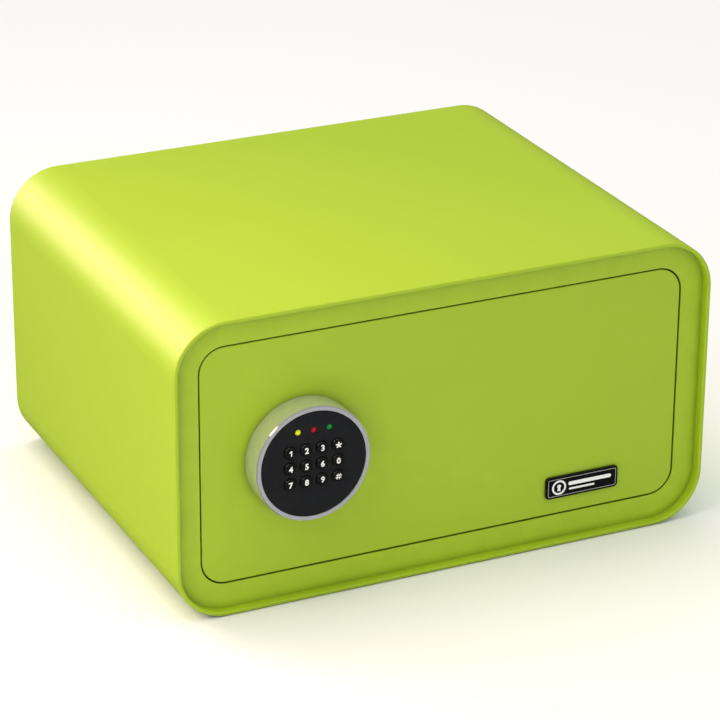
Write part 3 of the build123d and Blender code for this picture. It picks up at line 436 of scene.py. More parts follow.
def moulded(name, colour, rough=(0.38, 0.5), texture=0.0004, depth=8e-6, coat=0.0, vary=0.12,
            wear=0.3, worn=None, shine=0.35):
    """Moulded plastic or rubber with a spark-eroded skin."""
    f = Finish(name, Coat_Weight=coat, Coat_Roughness=0.06, Specular_IOR_Level=shine)
    clouds = f.effect("mottle", Size=0.03, Grain_Size=texture, Grain_Share=0.4)
    edge = f.effect("edge_wear", Start=0.55, Full=0.7, Patch_Size=0.003)
    rubbed = maths(f, "MULTIPLY", edge, wear)
    base = f.tone(clouds, shade(colour, 1 - vary), shade(colour, 1 + vary))
    f.feed("Base Color", f.tone(rubbed, base, worn or shade(colour, 2.2)))
    f.roughness(clouds, *rough)
    f.bump(f.effect("mottle", Size=texture * 2, Grain_Size=texture * 0.7, Grain_Share=0.5), depth)
    return f.material


def lamp(name, colour, glow):
    """A tinted lens with a brighter heart."""
    f = Finish(name, Roughness=0.22, Coat_Weight=0.15, Coat_Roughness=0.1,
               Emission_Strength=glow)
    clouds = f.effect("mottle", Size=0.0015, Grain_Size=0.0005, Grain_Share=0.2)
    tint = f.tone(clouds, shade(colour, 0.92), shade(colour, 1.05))
    f.feed("Base Color", tint)
    f.feed("Emission Color", tint)
    return f.material


def felt_cloth(name, colour):
    f = Finish(name, Roughness=0.95, Sheen_Weight=0.6, Sheen_Roughness=0.5,
               Specular_IOR_Level=0.2)
    clouds = f.effect("mottle", Size=0.03, Grain_Size=0.0012, Grain_Share=0.55)
    f.feed("Base Color", f.tone(clouds, shade(colour, 0.7), shade(colour, 1.4)))
    f.bump(f.effect("mottle", Size=0.002, Grain_Size=0.0006, Grain_Share=0.6), 0.0004)
    return f.material


FINISHES = {}


def make_finishes(scene):
    paint, lock = scene.safe_paint, scene.safe_lock
    axis = tuple(KNOB_AXIS)
    grain = dict(spacing=0.0005)
    made = {
        "lime_paint": lambda n: lime_paint(n, paint),
        "plated_steel": lambda n: metal(n, (0.62, 0.60, 0.54), (0.28, 0.42), **grain),
        "bright_steel": lambda n: metal(n, (0.68, 0.68, 0.68), (0.14, 0.26), **grain),
        "screw_steel": lambda n: metal(n, (0.60, 0.60, 0.61), (0.22, 0.36), **grain),
        "bush_brass": lambda n: metal(n, (0.72, 0.50, 0.20), (0.22, 0.34), **grain),
        "felt": lambda n: felt_cloth(n, (0.028, 0.030, 0.032)),
        "knob_chrome": lambda n: metal(n, tuple(lock.chrome), (0.05, 0.10), centre=axis,
                                       depth=1.2e-6, tarnish=0.96, wear=0.1, metallic=0.72),
        "bezel_satin": lambda n: metal(n, (0.72, 0.73, 0.80), (0.36, 0.5), centre=axis,
                                       spacing=0.00012, depth=3e-6, tarnish=0.97, wear=0.1,
                                       metallic=0.5),
        "keypad_black": lambda n: moulded(n, tuple(lock.keypad), (0.28, 0.36), shine=0.2),
        "hub_zinc": lambda n: metal(n, (0.50, 0.50, 0.50), (0.38, 0.5), spacing=0.0003,
                                    streak=(1.0, 1.0, 1.0), depth=8e-6),
        "key_black": lambda n: moulded(n, (0.004, 0.004, 0.0045), (0.14, 0.2), depth=1.5e-6,
                                       coat=0.6, wear=0.1, shine=0.5),
        "lamp_yellow": lambda n: lamp(n, (0.60, 0.70, 0.006), 0.25),
        "lamp_red": lambda n: lamp(n, (0.42, 0.006, 0.012), 0.12),
        "lamp_green": lambda n: lamp(n, (0.006, 0.24, 0.045), 0.08),
        "badge_black": lambda n: moulded(n, (0.006, 0.006, 0.0065), (0.22, 0.3), depth=3e-6,
                                         coat=0.1, wear=0.15, shine=0.25),
        "badge_grey": lambda n: moulded(n, (0.30, 0.30, 0.31), (0.3, 0.4), depth=2e-6),
        "board_green": lambda n: moulded(n, (0.012, 0.11, 0.035), (0.22, 0.32), coat=0.4,
                                         wear=0.05),
        "cable_black": lambda n: moulded(n, (0.014, 0.014, 0.015), (0.4, 0.5)),
        "coil_tape": lambda n: moulded(n, (0.55, 0.36, 0.02), (0.3, 0.42), depth=2e-5),
        "box_black": lambda n: moulded(n, (0.018, 0.018, 0.020), (0.42, 0.55), texture=0.0007,
                                       depth=3e-5),
        "battery_wrap": lambda n: moulded(n, (0.05, 0.11, 0.30), (0.18, 0.26), coat=0.6,
                                          depth=2e-6),
        "battery_gold": lambda n: metal(n, (0.80, 0.52, 0.16), (0.2, 0.3), depth=1e-6),
        "contact_nickel": lambda n: metal(n, (0.66, 0.64, 0.60), (0.16, 0.28), **grain),
        "button_red": lambda n: moulded(n, (0.48, 0.012, 0.010), (0.24, 0.34), coat=0.3,
                                        worn=(0.6, 0.05, 0.04)),
        "legend_white": lambda n: moulded(n, tuple(lock.legend), (0.35, 0.45), vary=0.03,
                                          depth=2e-6, worn=(0.8, 0.8, 0.8)),
    }
    for name, make in made.items():
        FINISHES[name] = make("safe_" + name)


# ---------------------------------------------------------------- pieces


class SAFE_OT_finishes(bpy.types.Operator):
    """Give every node of the frame the finish of its material slot"""
    bl_idname = "safe.finishes"
    bl_label = "Paint and Finishes"

    def execute(self, context):
        make_effects()
        make_finishes(context.scene)
        for node in NODES.values():
            for slot in node.material_slots:
                wanted = slot.material.name.split(".")[0]
                if wanted not in FINISHES:
                    raise RuntimeError(f"{node.name} asks for an unknown finish: {wanted}")
                slot.material = FINISHES[wanted]
        return {"FINISHED"}


def place_piece(name, mesh, body, finish):
    """Put a finished mesh in the scene on its body, with its finish as its one material."""
    mesh.materials.clear()
    mesh.materials.append(FINISHES[finish])
    piece = in_scene(name, mesh)
    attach(piece, body)
    return piece


def mesh_of_curve(curve):
    """The filled mesh of a flat curve or text, drawn in X and Y; the curve is removed."""
    holder = in_scene("curve_holder", curve)
    bpy.context.view_layer.update()
    evaluated = holder.evaluated_get(bpy.context.evaluated_depsgraph_get())
    mesh = bpy.data.meshes.new_from_object(evaluated)
    bpy.data.objects.remove(holder)
    bpy.data.curves.remove(curve)
    return mesh


def flat_shape(loops):
    """Mesh of closed loops in X and Y; a loop inside another is a hole."""
    curve = bpy.data.curves.new("flat_shape", "CURVE")
    curve.dimensions, curve.fill_mode = "2D", "BOTH"
    for loop in loops:
        spline = curve.splines.new("POLY")
        spline.points.add(len(loop) - 1)
        for point, (x, y) in zip(spline.points, loop):
            point.co = (x, y, 0, 1)
        spline.use_cyclic_u = True
    return mesh_of_curve(curve)


def arc(centre, radius, start, end, steps=24):
    return [(centre[0] + radius * math.cos(start + (end - start) * k / steps),
             centre[1] + radius * math.sin(start + (end - start) * k / steps))
            for k in range(steps + 1)]


def refine(shape, longest, rounds):
    """Split the edges of a flat shape until none is longer than asked."""
    for _ in range(rounds):
        long = [e for e in shape.edges if e.calc_length() > longest]
        if not long:
            break
        bmesh.ops.subdivide_edges(shape, edges=long, cuts=1)
        bmesh.ops.triangulate(shape, faces=shape.faces)


def print_on(mesh, base, centre, proud, depth, fine=0.0007):
    """Lay a flat mesh on the front of a base object as a closed film that follows its shape."""
    surface = BVHTree.FromPolygons([v.co for v in base.data.vertices],
                                   [p.vertices for p in base.data.polygons])
    shape = bmesh.new()
    shape.from_mesh(mesh)
    bmesh.ops.remove_doubles(shape, verts=shape.verts, dist=1e-7)
    refine(shape, fine, 3)
    corners = [v.co for v in shape.verts]
    mid = [(min(c[k] for c in corners) + max(c[k] for c in corners)) / 2 for k in (0, 1)]
    front = list(shape.faces)
    for v in shape.verts:
        x, z = centre.x + v.co.x - mid[0], centre.z + v.co.y - mid[1]
        hit = surface.ray_cast(Vector((x, centre.y - 0.05, z)), Vector((0, 1, 0)))[0]
        if hit is None:
            raise RuntimeError(f"a print reaches past the edge of {base.name}")
        v.co = Vector((x, hit.y - proud, z))
    back = bmesh.ops.extrude_face_region(shape, geom=front)["geom"]
    for v in (g for g in back if isinstance(g, bmesh.types.BMVert)):
        v.co.y += depth
    bmesh.ops.recalc_face_normals(shape, faces=shape.faces)
    shape.to_mesh(mesh)
    shape.free()
    return mesh


class SAFE_OT_legends(bpy.types.Operator):
    """Print the digits, star and hash on the keys"""
    bl_idname = "safe.legends"
    bl_label = "Key Legends"

    MARKS = {**{f"key_{k}": str(k) for k in range(10)}, "key_star": "*", "key_hash": "#"}
    BOLDER = 0.034      # outline offset, as a share of the text size
    CAP_SHARE = 0.70    # height of a digit, as a share of the text size

    def digit(self, mark, height):
        text = bpy.data.curves.new("legend", "FONT")
        text.body, text.size = mark, height / self.CAP_SHARE
        text.offset = text.size * self.BOLDER
        text.resolution_u = 4
        return mesh_of_curve(text)

    def one(self, height):
        """An upright with a short flag at its head."""
        top, half, flag = 0.5 * height, 0.105 * height, 0.34 * height
        return flat_shape([[(half, -top), (half, top), (-0.4 * half, top),
                            (-flag, top - 0.21 * height), (-flag, top - 0.42 * height),
                            (-half, top - 0.30 * height), (-half, -top)]])

    def star(self, height):
        """Five blunt arms."""
        reach, half = 0.56 * height, 0.10 * height
        valley = half / math.sin(math.pi / 5)
        outline = []
        for arm in range(5):
            along = math.pi / 2 + TAU * arm / 5
            ahead = Vector((math.cos(along), math.sin(along)))
            aside = Vector((-ahead.y, ahead.x))
            before = along - math.pi / 5
            outline.append((valley * math.cos(before), valley * math.sin(before)))
            outline += [tuple(reach * ahead - 1.25 * half * aside),
                        tuple(reach * ahead + 1.25 * half * aside)]
        return flat_shape([outline])

    def hash(self, height):
        """Two bars across two leaning ones."""
        end, gap, half = 0.52 * height, 0.20 * height, 0.07 * height
        near, far, lean = gap - half, gap + half, 0.18
        quarter = [(near, far), (near, end), (far, end), (far, far), (end, far), (end, near),
                   (far, near)]
        outline, hole = [], [(near, near), (near, -near), (-near, -near), (-near, near)]
        for _ in range(4):
            outline += quarter
            quarter = [(y, -x) for x, y in quarter]
        return flat_shape([[(x + lean * y, y) for x, y in loop] for loop in (outline, hole)])

    def execute(self, context):
        height = context.scene.safe_lock.legend_height
        for key, mark in self.MARKS.items():
            draw = {"1": self.one, "*": self.star, "#": self.hash}.get(mark)
            mesh = draw(height) if draw else self.digit(mark, height)
            print_on(mesh, NODES[key], middle(key), 0.00003, 0.00008)
            place_piece(key + "_legend", mesh, key, "legend_white")
        return {"FINISHED"}


class SAFE_OT_emblem(bpy.types.Operator):
    """Lay a plain keyhole emblem and two rules on the badge"""
    bl_idname = "safe.emblem"
    bl_label = "Badge Emblem"

    def execute(self, context):
        low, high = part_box("badge")
        middle_z = (low.z + high.z) / 2
        tall = high.z - low.z
        ring_at = (low.x + 0.62 * tall, 0.0)
        outer, inner, bow = 0.34 * tall, 0.255 * tall, 0.09 * tall
        slot_foot, slot_end = 0.08 * tall, -0.16 * tall
        hole = arc((ring_at[0], 0.05 * tall), bow, -0.3 * math.pi, 1.3 * math.pi)
        hole += [(ring_at[0] - slot_foot, slot_end), (ring_at[0] + slot_foot, slot_end)]
        rule_from, rule_to = low.x + 1.15 * tall, high.x - 0.42 * tall
        rules = []
        for z, reach, thick in ((0.10 * tall, 1.0, 0.085 * tall),
                                (-0.15 * tall, 0.6, 0.045 * tall)):
            end = rule_from + (rule_to - rule_from) * reach
            rules.append(arc((end, z), thick, -math.pi / 2, math.pi / 2, 8)
                         + arc((rule_from, z), thick, math.pi / 2, 1.5 * math.pi, 8))
        mesh = flat_shape([arc(ring_at, outer, 0, TAU * 47 / 48, 47),
                           arc(ring_at, inner, 0, TAU * 47 / 48, 47), hole, *rules])
        xs = [v.co.x for v in mesh.vertices]
        centre = Vector(((min(xs) + max(xs)) / 2, low.y, middle_z))
        print_on(mesh, NODES["badge"], centre, 0.00015, 0.00025, fine=0.004)
        place_piece("badge_emblem", mesh, "door", "legend_white")
        return {"FINISHED"}


def finished_mesh(shape, name):
    """The mesh of a shape, which is freed."""
    mesh = bpy.data.meshes.new(name)
    shape.to_mesh(mesh)
    shape.free()
    return mesh


def add_in(joined, mesh):
    """Move a mesh into a larger shape."""
    joined.from_mesh(mesh)
    bpy.data.meshes.remove(mesh)


def loose_parts(node):
    """The separate solids of a CAD node, each as a list of its vertex places."""
    shape = bmesh.new()
    shape.from_mesh(NODES[node].data)
    bmesh.ops.remove_doubles(shape, verts=shape.verts, dist=1e-6)
    left, parts = set(shape.verts), []
    while left:
        edge, part = [left.pop()], []
        while edge:
            vertex = edge.pop()
            part.append(vertex.co.copy())
            for link in vertex.link_edges:
                other = link.other_vert(vertex)
                if other in left:
                    left.remove(other)
                    edge.append(other)
        parts.append(part)
    shape.free()
    parts.sort(key=lambda part: tuple(round(sum(v[k] for v in part) / len(part), 5)
                                      for k in range(3)))
    return parts


def lathe(shape, profile, steps=32):
    """Turn (radius, y) pairs round the Y axis; the first and last pair lie on the axis."""
    rings = []
    for radius, y in profile:
        if radius == 0:
            rings.append([shape.verts.new((0, y, 0))] * steps)
            continue
        rings.append([shape.verts.new((radius * math.cos(TAU * k / steps), y,
                                       radius * math.sin(TAU * k / steps)))
                      for k in range(steps)])
    for first, second in zip(rings, rings[1:]):
        for k in range(steps):
            j = (k + 1) % steps
            corners = []
            for v in (first[k], first[j], second[j], second[k]):
                if v not in corners:
                    corners.append(v)
            shape.faces.new(corners)
    bmesh.ops.recalc_face_normals(shape, faces=shape.faces)


def cut(mesh, tool):
    """The mesh with the tool's shape taken out of it."""
    both = [in_scene("cut_holder", m) for m in (mesh, tool)]
    boolean = both[0].modifiers.new("cut", "BOOLEAN")
    boolean.object, boolean.operation, boolean.solver = both[1], "DIFFERENCE", "EXACT"
    bpy.context.view_layer.update()
    result = bpy.data.meshes.new_from_object(
        both[0].evaluated_get(bpy.context.evaluated_depsgraph_get()))
    for o in both:
        bpy.data.objects.remove(o)
    for m in (mesh, tool):
        bpy.data.meshes.remove(m)
    return result


def smooth_by_angle(mesh, angle=35):
    """Smooth shading with the creases kept sharp."""
    shape = bmesh.new()
    shape.from_mesh(mesh)
    for face in shape.faces:
        face.smooth = True
    for edge in shape.edges:
        if len(edge.link_faces) == 2:
            edge.smooth = edge.calc_face_angle(0) < math.radians(angle)
    shape.to_mesh(mesh)
    shape.free()
    return mesh


class SAFE_OT_screws(bpy.types.Operator):
    """Give the screws domed heads with a cross recess"""
    bl_idname = "safe.screws"
    bl_label = "Cross Recess Screws"

    SETS = ("cover_screws", "guide_screws", "solenoid_screws", "hub_screws", "drive_screws")
    HEAD = ((0, 0), (0.97, 0), (1, -0.04), (1, -0.42), (0.95, -0.60), (0.84, -0.77),
            (0.66, -0.91), (0.42, -0.98), (0.2, -1), (0, -1))
    RECESS_REACH, RECESS_HALF, RECESS_TAPER = 0.56, 0.13, 0.55
    RECESS_FLOOR, RECESS_MOUTH = -0.30, -1.1
    TURN, TURN_STEP = 0.35, 0.7     # each screw stops at its own angle

    def head(self):
        """A pan head of unit radius and height that looks along -Y, with its recess."""
        shape = bmesh.new()
        lathe(shape, self.HEAD)
        mesh = bpy.data.meshes.new("head")
        shape.to_mesh(mesh)
        shape.clear()
        reach, half = self.RECESS_REACH, self.RECESS_HALF
        for turn in (0, 1):
            corners = []
            for y, grow in ((self.RECESS_MOUTH, 1.0), (self.RECESS_FLOOR, self.RECESS_TAPER)):
                for x, z in ((-reach, -half), (reach, -half), (reach, half), (-reach, half)):
                    x, z = x * grow, z * grow
                    corners.append(shape.verts.new((z, y, -x) if turn else (x, y, z)))
            for face in ((0, 1, 2, 3), (7, 6, 5, 4), (0, 4, 5, 1), (1, 5, 6, 2), (2, 6, 7, 3),
                         (3, 7, 4, 0)):
                shape.faces.new([corners[k] for k in face])
            bmesh.ops.recalc_face_normals(shape, faces=shape.faces)
            tool = bpy.data.meshes.new("recess")
            shape.to_mesh(tool)
            shape.clear()
            mesh = cut(mesh, tool)
        shape.free()
        return mesh

    def execute(self, context):
        head = self.head()
        for node in self.SETS:
            joined = bmesh.new()
            for number, part in enumerate(loose_parts(node)):
                low = [min(v[k] for v in part) for k in range(3)]
                high = [max(v[k] for v in part) for k in range(3)]
                axis = Vector(((low[0] + high[0]) / 2, 0, (low[2] + high[2]) / 2))
                radius = (high[0] - low[0]) / 2
                wide = [v.y for v in part if (v.xz - axis.xz).length > 0.9 * radius]
                thin = [(v.xz - axis.xz).length for v in part
                        if (v.xz - axis.xz).length < 0.85 * radius
                        and (v.y < min(wide) - 1e-5 or v.y > max(wide) + 1e-5)]
                if not thin:
                    raise RuntimeError(f"{node} has a screw with no shank")
                forward = low[1] > min(wide) - 1e-5
                under, tall = (max(wide), -1) if forward else (min(wide), 1)
                height = max(wide) - min(wide)
                turn = Matrix.Rotation(self.TURN_STEP * number + self.TURN, 4, "Y")
                squash = Matrix.Diagonal((radius, height, radius, 1))
                flip = Matrix.Rotation(0 if forward else math.pi, 4, "X")
                place = Matrix.Translation((axis.x, under, axis.z)) @ flip @ squash @ turn
                copy = head.copy()
                copy.transform(place)
                add_in(joined, copy)
                end = high[1] if forward else low[1]
                shank = bmesh.new()
                core = max(thin)
                length = end - under
                lathe(shank, [(0, under), (core, under), (core, under + 0.92 * length),
                              (0.86 * core, end), (0, end)], steps=20)
                bmesh.ops.translate(shank, verts=shank.verts, vec=(axis.x, 0, axis.z))
                add_in(joined, finished_mesh(shank, "shank"))
            mesh = finished_mesh(joined, node + "_recessed")
            piece = place_piece(node + "_recessed", smooth_by_angle(mesh),
                                NODES[node]["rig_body"], "screw_steel")
            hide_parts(node)
        bpy.data.meshes.remove(head)
        return {"FINISHED"}


class SAFE_OT_felt_mat(bpy.types.Operator):
    """Lay the felt mat on the cabinet floor"""
    bl_idname = "safe.felt_mat"
    bl_label = "Felt Mat"

    HOLE, HOLE_PLACES, CORNER, RIM_DROP = 0.009, (-0.12, 0.12), 0.006, 0.0006
    CELL, NAP, NAP_SCALE = 0.008, 0.00035, 40

    def execute(self, context):
        low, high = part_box("floor_mat")
        mid, half = (low + high) / 2, (high - low) / 2
        outline = []
        for k, (sx, sy) in enumerate(((1, 1), (-1, 1), (-1, -1), (1, -1))):
            corner = (mid.x + sx * (half.x - self.CORNER), mid.y + sy * (half.y - self.CORNER))
            outline += arc(corner, self.CORNER, k * math.pi / 2, (k + 1) * math.pi / 2, 6)
        holes = [arc((x, 0.0), self.HOLE, 0, TAU * 27 / 28, 27) for x in self.HOLE_PLACES]
        shape = bmesh.new()
        shape.from_mesh(flat_shape([outline, *holes]))
        bmesh.ops.remove_doubles(shape, verts=shape.verts, dist=1e-7)
        refine(shape, self.CELL, 8)
        rim = {v for e in shape.edges if e.is_boundary for v in e.verts}
        bottom = list(shape.faces)
        rim_places = {tuple(round(c, 6) for c in v.co.xy) for v in rim}
        lifted = bmesh.ops.extrude_face_region(shape, geom=bottom)["geom"]
        tops = [g for g in lifted if isinstance(g, bmesh.types.BMVert)]
        top = high.z - self.NAP
        for v in tops:
            v.co.z = top + self.NAP * noise.noise(v.co * self.NAP_SCALE)
            if tuple(round(c, 6) for c in v.co.xy) in rim_places:
                v.co.z = top - self.RIM_DROP
        lifted_set = set(tops)
        for v in shape.verts:
            if v not in lifted_set:
                v.co.z = low.z
        bmesh.ops.recalc_face_normals(shape, faces=shape.faces)
        mesh = finished_mesh(shape, "felt_mat")
        mat = place_piece("felt_mat", smooth_by_angle(mesh, 50), "cabinet", "felt")
        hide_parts("floor_mat")
        return {"FINISHED"}


class SAFE_OT_lamps(bpy.types.Operator):
    """Set a small domed lens with a sunk rim in the place of each of the three lamps"""
    bl_idname = "safe.lamps"
    bl_label = "Lamps"

    LENS_SHARE, RIM_SUNK, RIM_SLOPE = 0.82, 0.0005, 0.0001

    def execute(self, context):
        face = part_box("keypad_face")[0].y
        for node in ("led_yellow", "led_red", "led_green"):
            low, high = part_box(node)
            centre, radius = (low + high) / 2, (high.x - low.x) / 2
            rise, lens = face - low.y, self.LENS_SHARE * radius
            profile = [(0, low.y), (0.45 * lens, low.y + 0.10 * rise),
                       (0.80 * lens, low.y + 0.38 * rise), (lens, face),
                       (lens, face + self.RIM_SUNK),
                       (radius, face + self.RIM_SUNK + self.RIM_SLOPE),
                       (radius, high.y), (0, high.y)]
            shape = bmesh.new()
            lathe(shape, profile, 40)
            for v in shape.verts:
                v.co.x += centre.x
                v.co.z += centre.z
            mesh = finished_mesh(shape, node + "_lens")
            piece = place_piece(node + "_lens", smooth_by_angle(mesh), NODES[node]["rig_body"],
                                node.replace("led", "lamp"))
            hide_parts(node)
        return {"FINISHED"}


class SAFE_OT_battery_bands(bpy.types.Operator):
    """Put the coloured band of its sleeve round each battery, at the end with the tip"""
    bl_idname = "safe.battery_bands"
    bl_label = "Battery Bands"

    SHARE, SKIN, STEPS = 0.26, 0.00003, 40

    def execute(self, context):
        joined = bmesh.new()
        for part in loose_parts("batteries"):
            low = Vector([min(v[k] for v in part) for k in range(3)])
            high = Vector([max(v[k] for v in part) for k in range(3)])
            axis, radius = (low + high) / 2, (high.z - low.z) / 2
            wide = [v.x for v in part if (v.yz - axis.yz).length > 0.95 * radius]
            right = high.x > max(wide) + 1e-5
            end, back = (max(wide), -1) if right else (min(wide), 1)
            reach = back * self.SHARE * (max(wide) - min(wide))
            ring = bmesh.new()
            outer, inner = radius + self.SKIN, radius - 10 * self.SKIN
            turns = [TAU * k / self.STEPS for k in range(self.STEPS)]
            loops = [[ring.verts.new((x, axis.y + r * math.cos(a), axis.z + r * math.sin(a)))
                      for a in turns]
                     for r, x in ((inner, end), (outer, end), (outer, end + reach),
                                  (inner, end + reach))]
            for first, second in zip(loops, loops[1:] + loops[:1]):
                for k in range(self.STEPS):
                    j = (k + 1) % self.STEPS
                    ring.faces.new((first[k], first[j], second[j], second[k]))
            bmesh.ops.recalc_face_normals(ring, faces=ring.faces)
            add_in(joined, finished_mesh(ring, "band"))
        mesh = finished_mesh(joined, "battery_bands")
        place_piece("battery_bands", smooth_by_angle(mesh), NODES["batteries"]["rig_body"],
                    "battery_gold")
        return {"FINISHED"}


class SAFE_OT_spring(bpy.types.Operator):
    """Wind the plunger spring"""
    bl_idname = "safe.spring"
    bl_label = "Plunger Spring"

    TURNS, STEPS, WIRE_SIDES = 7.0, 24, 8

    def execute(self, context):
        low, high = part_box("plunger_spring")
        centre = (low + high) / 2
        wire = self.wire_radius()
        coil = (high.x - low.x) / 2 - wire
        climb = high.z - low.z - 2 * wire
        shape, rings = bmesh.new(), []
        count = int(self.TURNS * self.STEPS)
        for k in range(count + 1):
            share = k / count
            turn = TAU * self.TURNS * share
            flat = min(1.0, max(0.0, (share - 0.5 / self.TURNS) / (1 - 1 / self.TURNS)))
            out = Vector((math.cos(turn), math.sin(turn), 0))
            at = Vector((centre.x, centre.y, low.z + wire + climb * flat)) + coil * out
            rings.append([shape.verts.new(at + wire * (math.cos(a) * out
                                                       + Vector((0, 0, math.sin(a)))))
                          for a in (TAU * s / self.WIRE_SIDES for s in range(self.WIRE_SIDES))])
        for first, second in zip(rings, rings[1:]):
            for s in range(self.WIRE_SIDES):
                t = (s + 1) % self.WIRE_SIDES
                shape.faces.new((first[s], first[t], second[t], second[s]))
        shape.faces.new(rings[0])
        shape.faces.new(rings[-1])
        bmesh.ops.recalc_face_normals(shape, faces=shape.faces)
        mesh = finished_mesh(shape, "plunger_spring_wound")
        piece = place_piece("plunger_spring_wound", smooth_by_angle(mesh, 60),
                            NODES["plunger_spring"]["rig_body"], "bright_steel")
        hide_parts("plunger_spring")
        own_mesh(piece)
        return {"FINISHED"}

    def wire_radius(self):
        """Half the gap between the coil's inside and its outside."""
        low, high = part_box("plunger_spring")
        centre = (low + high) / 2
        reach = [(v.co.xy - centre.xy).length for v in NODES["plunger_spring"].data.vertices]
        return (max(reach) - min(reach)) / 2


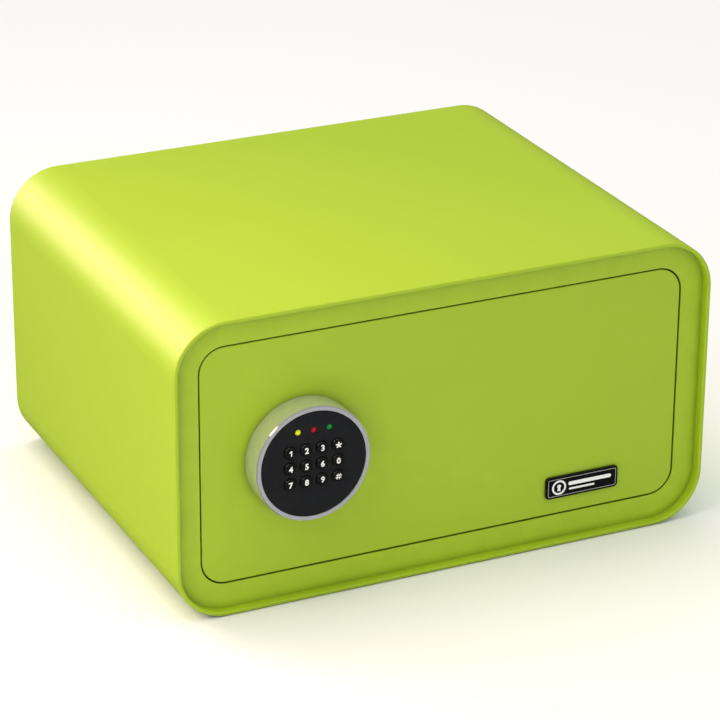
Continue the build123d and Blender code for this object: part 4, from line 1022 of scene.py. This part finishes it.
class SAFE_OT_studio(bpy.types.Operator):
    """Set the pale floor, the soft lights and the camera"""
    bl_idname = "safe.studio"
    bl_label = "Studio"

    # the floor and sky look darker in reflections, as black cards round a set would make them
    FLOOR_REFLECTED, SKY_REFLECTED = 0.09, 0.22
    FLOOR_REACH, FLOOR_RINGS, FLOOR_SPOKES, FLOOR_DROP = 14.0, 10, 48, 0.0002
    CAMERA_AIM = Vector((0.0072, 0.0, 0.0997))
    # setting, size, place, aim, colour and spread of each soft light
    LIGHTS = {
        "overhead_light": ("key", (2.0, 1.7), (-0.3, 0.2, 2.6), (0, 0, 0.1),
                           (1.0, 0.83, 0.60), 180),
        "side_light": ("side", (0.3, 0.3), (-0.55, -0.40, 0.55), (-0.18, -0.15, 0.18),
                       (1.0, 0.80, 0.52), 180),
        "back_light": ("back", (2.2, 1.5), (-1.75, 1.75, 0.55), (-0.2, 0.0, 0.2),
                       (1.0, 0.90, 0.96), 180),
        "edge_light": ("edge", (0.60, 0.60), (-0.55, 0.40, 0.44), (-0.22, -0.24, 0.18),
                       (1.0, 0.74, 0.62), 52),
    }

    def soft_light(self, name, power, size, place, aim, colour, spread_degrees):
        data = bpy.data.lights.new(name, "AREA")
        data.energy, data.shape, data.color = power, "RECTANGLE", colour
        data.size, data.size_y = size
        data.spread = math.radians(spread_degrees)
        lamp_object = in_scene(name, data)
        lamp_object.location = place
        towards = Vector(aim) - Vector(place)
        lamp_object.rotation_euler = towards.to_track_quat("-Z", "Y").to_euler()

    def floor(self, colour):
        mesh = bpy.data.meshes.new("studio_floor")
        shape = bmesh.new()
        rings, spokes = self.FLOOR_RINGS, self.FLOOR_SPOKES
        loops = []
        for ring in range(1, rings + 1):
            r = self.FLOOR_REACH * (ring / rings) ** 2
            loops.append([shape.verts.new((r * math.cos(TAU * k / spokes),
                                           r * math.sin(TAU * k / spokes), -self.FLOOR_DROP))
                          for k in range(spokes)])
        shape.faces.new(loops[0])
        for inner, outer in zip(loops, loops[1:]):
            for k in range(spokes):
                j = (k + 1) % spokes
                shape.faces.new((inner[k], outer[k], outer[j], inner[j]))
        shape.normal_update()
        shape.to_mesh(mesh)
        shape.free()
        floor = in_scene("studio_floor", mesh)
        f = Finish("studio_floor", Roughness=0.9, Specular_IOR_Level=0.1)
        clouds = f.effect("mottle", Size=0.5, Grain_Size=0.002, Grain_Share=0.3)
        mirrored = f.add("ShaderNodeLightPath").outputs["Is Glossy Ray"]
        pale = f.tone(clouds, shade(colour, 0.99), colour)
        f.feed("Base Color", f.tone(mirrored, pale, shade(colour, self.FLOOR_REFLECTED)))
        mesh.materials.append(f.material)

    def sky(self, strength):
        world = bpy.data.worlds.new("studio_sky")
        world.use_nodes = True
        tree = world.node_tree
        place = add_node(tree, "ShaderNodeTexCoord").outputs["Generated"]
        height = add_node(tree, "ShaderNodeSeparateXYZ", None, Vector=place).outputs["Z"]
        ramp = add_node(tree, "ShaderNodeValToRGB", None, Fac=height)
        ramp.color_ramp.elements[0].color = (0.92, 0.94, 0.95, 1)
        ramp.color_ramp.elements[1].color = (0.96, 0.98, 1.0, 1)
        background = tree.nodes["Background"]
        mirrored = add_node(tree, "ShaderNodeLightPath").outputs["Is Glossy Ray"]
        dimmed = add_node(tree, "ShaderNodeMapRange", None, Value=mirrored, To_Min=strength,
                          To_Max=strength * self.SKY_REFLECTED)
        tree.links.new(ramp.outputs[0], background.inputs["Color"])
        tree.links.new(dimmed.outputs[0], background.inputs["Strength"])
        bpy.context.scene.world = world

    def camera(self, s):
        az, el, roll = s.camera_turn, s.camera_rise, s.camera_roll
        back = Vector((math.sin(az) * math.cos(el), -math.cos(az) * math.cos(el), math.sin(el)))
        right = Vector((math.cos(az), math.sin(az), 0.0))
        up = back.cross(right)
        leaning = math.cos(roll) * right + math.sin(roll) * up
        risen = math.cos(roll) * up - math.sin(roll) * right
        data = bpy.data.cameras.new("studio_camera")
        data.sensor_width, data.lens = 36.0, s.lens
        data.clip_start, data.clip_end = 0.05, 60.0
        camera = in_scene("studio_camera", data)
        turn = Matrix((leaning, risen, back)).transposed().to_4x4()
        camera.matrix_world = Matrix.Translation(self.CAMERA_AIM + back * s.camera_away) @ turn
        bpy.context.scene.camera = camera

    def execute(self, context):
        s = context.scene.safe_studio
        context.scene.view_settings.view_transform = "Standard"
        self.floor(tuple(s.floor))
        self.sky(s.sky)
        for name, (setting, *rest) in self.LIGHTS.items():
            self.soft_light(name, getattr(s, setting), *rest)
        self.camera(s)
        return {"FINISHED"}


OPERATORS = (SAFE_OT_finishes, SAFE_OT_legends, SAFE_OT_emblem, SAFE_OT_screws,
             SAFE_OT_felt_mat, SAFE_OT_lamps, SAFE_OT_battery_bands, SAFE_OT_spring,
             SAFE_OT_studio)


class SAFE_PT_looks(bpy.types.Panel):
    """Lists the steps that dress the safe"""
    bl_idname = "SAFE_PT_looks"
    bl_label = "Safe"
    bl_space_type = "VIEW_3D"
    bl_region_type = "UI"
    bl_category = "Safe"

    def draw(self, context):
        scene = context.scene
        for group in (scene.safe_paint, scene.safe_lock, scene.safe_studio):
            box = self.layout.box()
            for name in group.__annotations__:
                box.prop(group, name)
        for operator in OPERATORS:
            self.layout.operator(operator.bl_idname)


GROUPS = {"safe_paint": SafePaintSettings, "safe_lock": SafeLockSettings,
          "safe_studio": SafeStudioSettings}
CLASSES = (*GROUPS.values(), *OPERATORS, SAFE_PT_looks)


def register():
    for cls in CLASSES:
        bpy.utils.register_class(cls)
    for name, group in GROUPS.items():
        setattr(bpy.types.Scene, name, PointerProperty(type=group))


def unregister():
    for name in GROUPS:
        delattr(bpy.types.Scene, name)
    for cls in reversed(CLASSES):
        bpy.utils.unregister_class(cls)


def main():
    register()
    for operator in OPERATORS:
        step = operator.bl_idname.split(".")[1]
        getattr(bpy.ops.safe, step)()


if __name__ == "__main__":
    main()
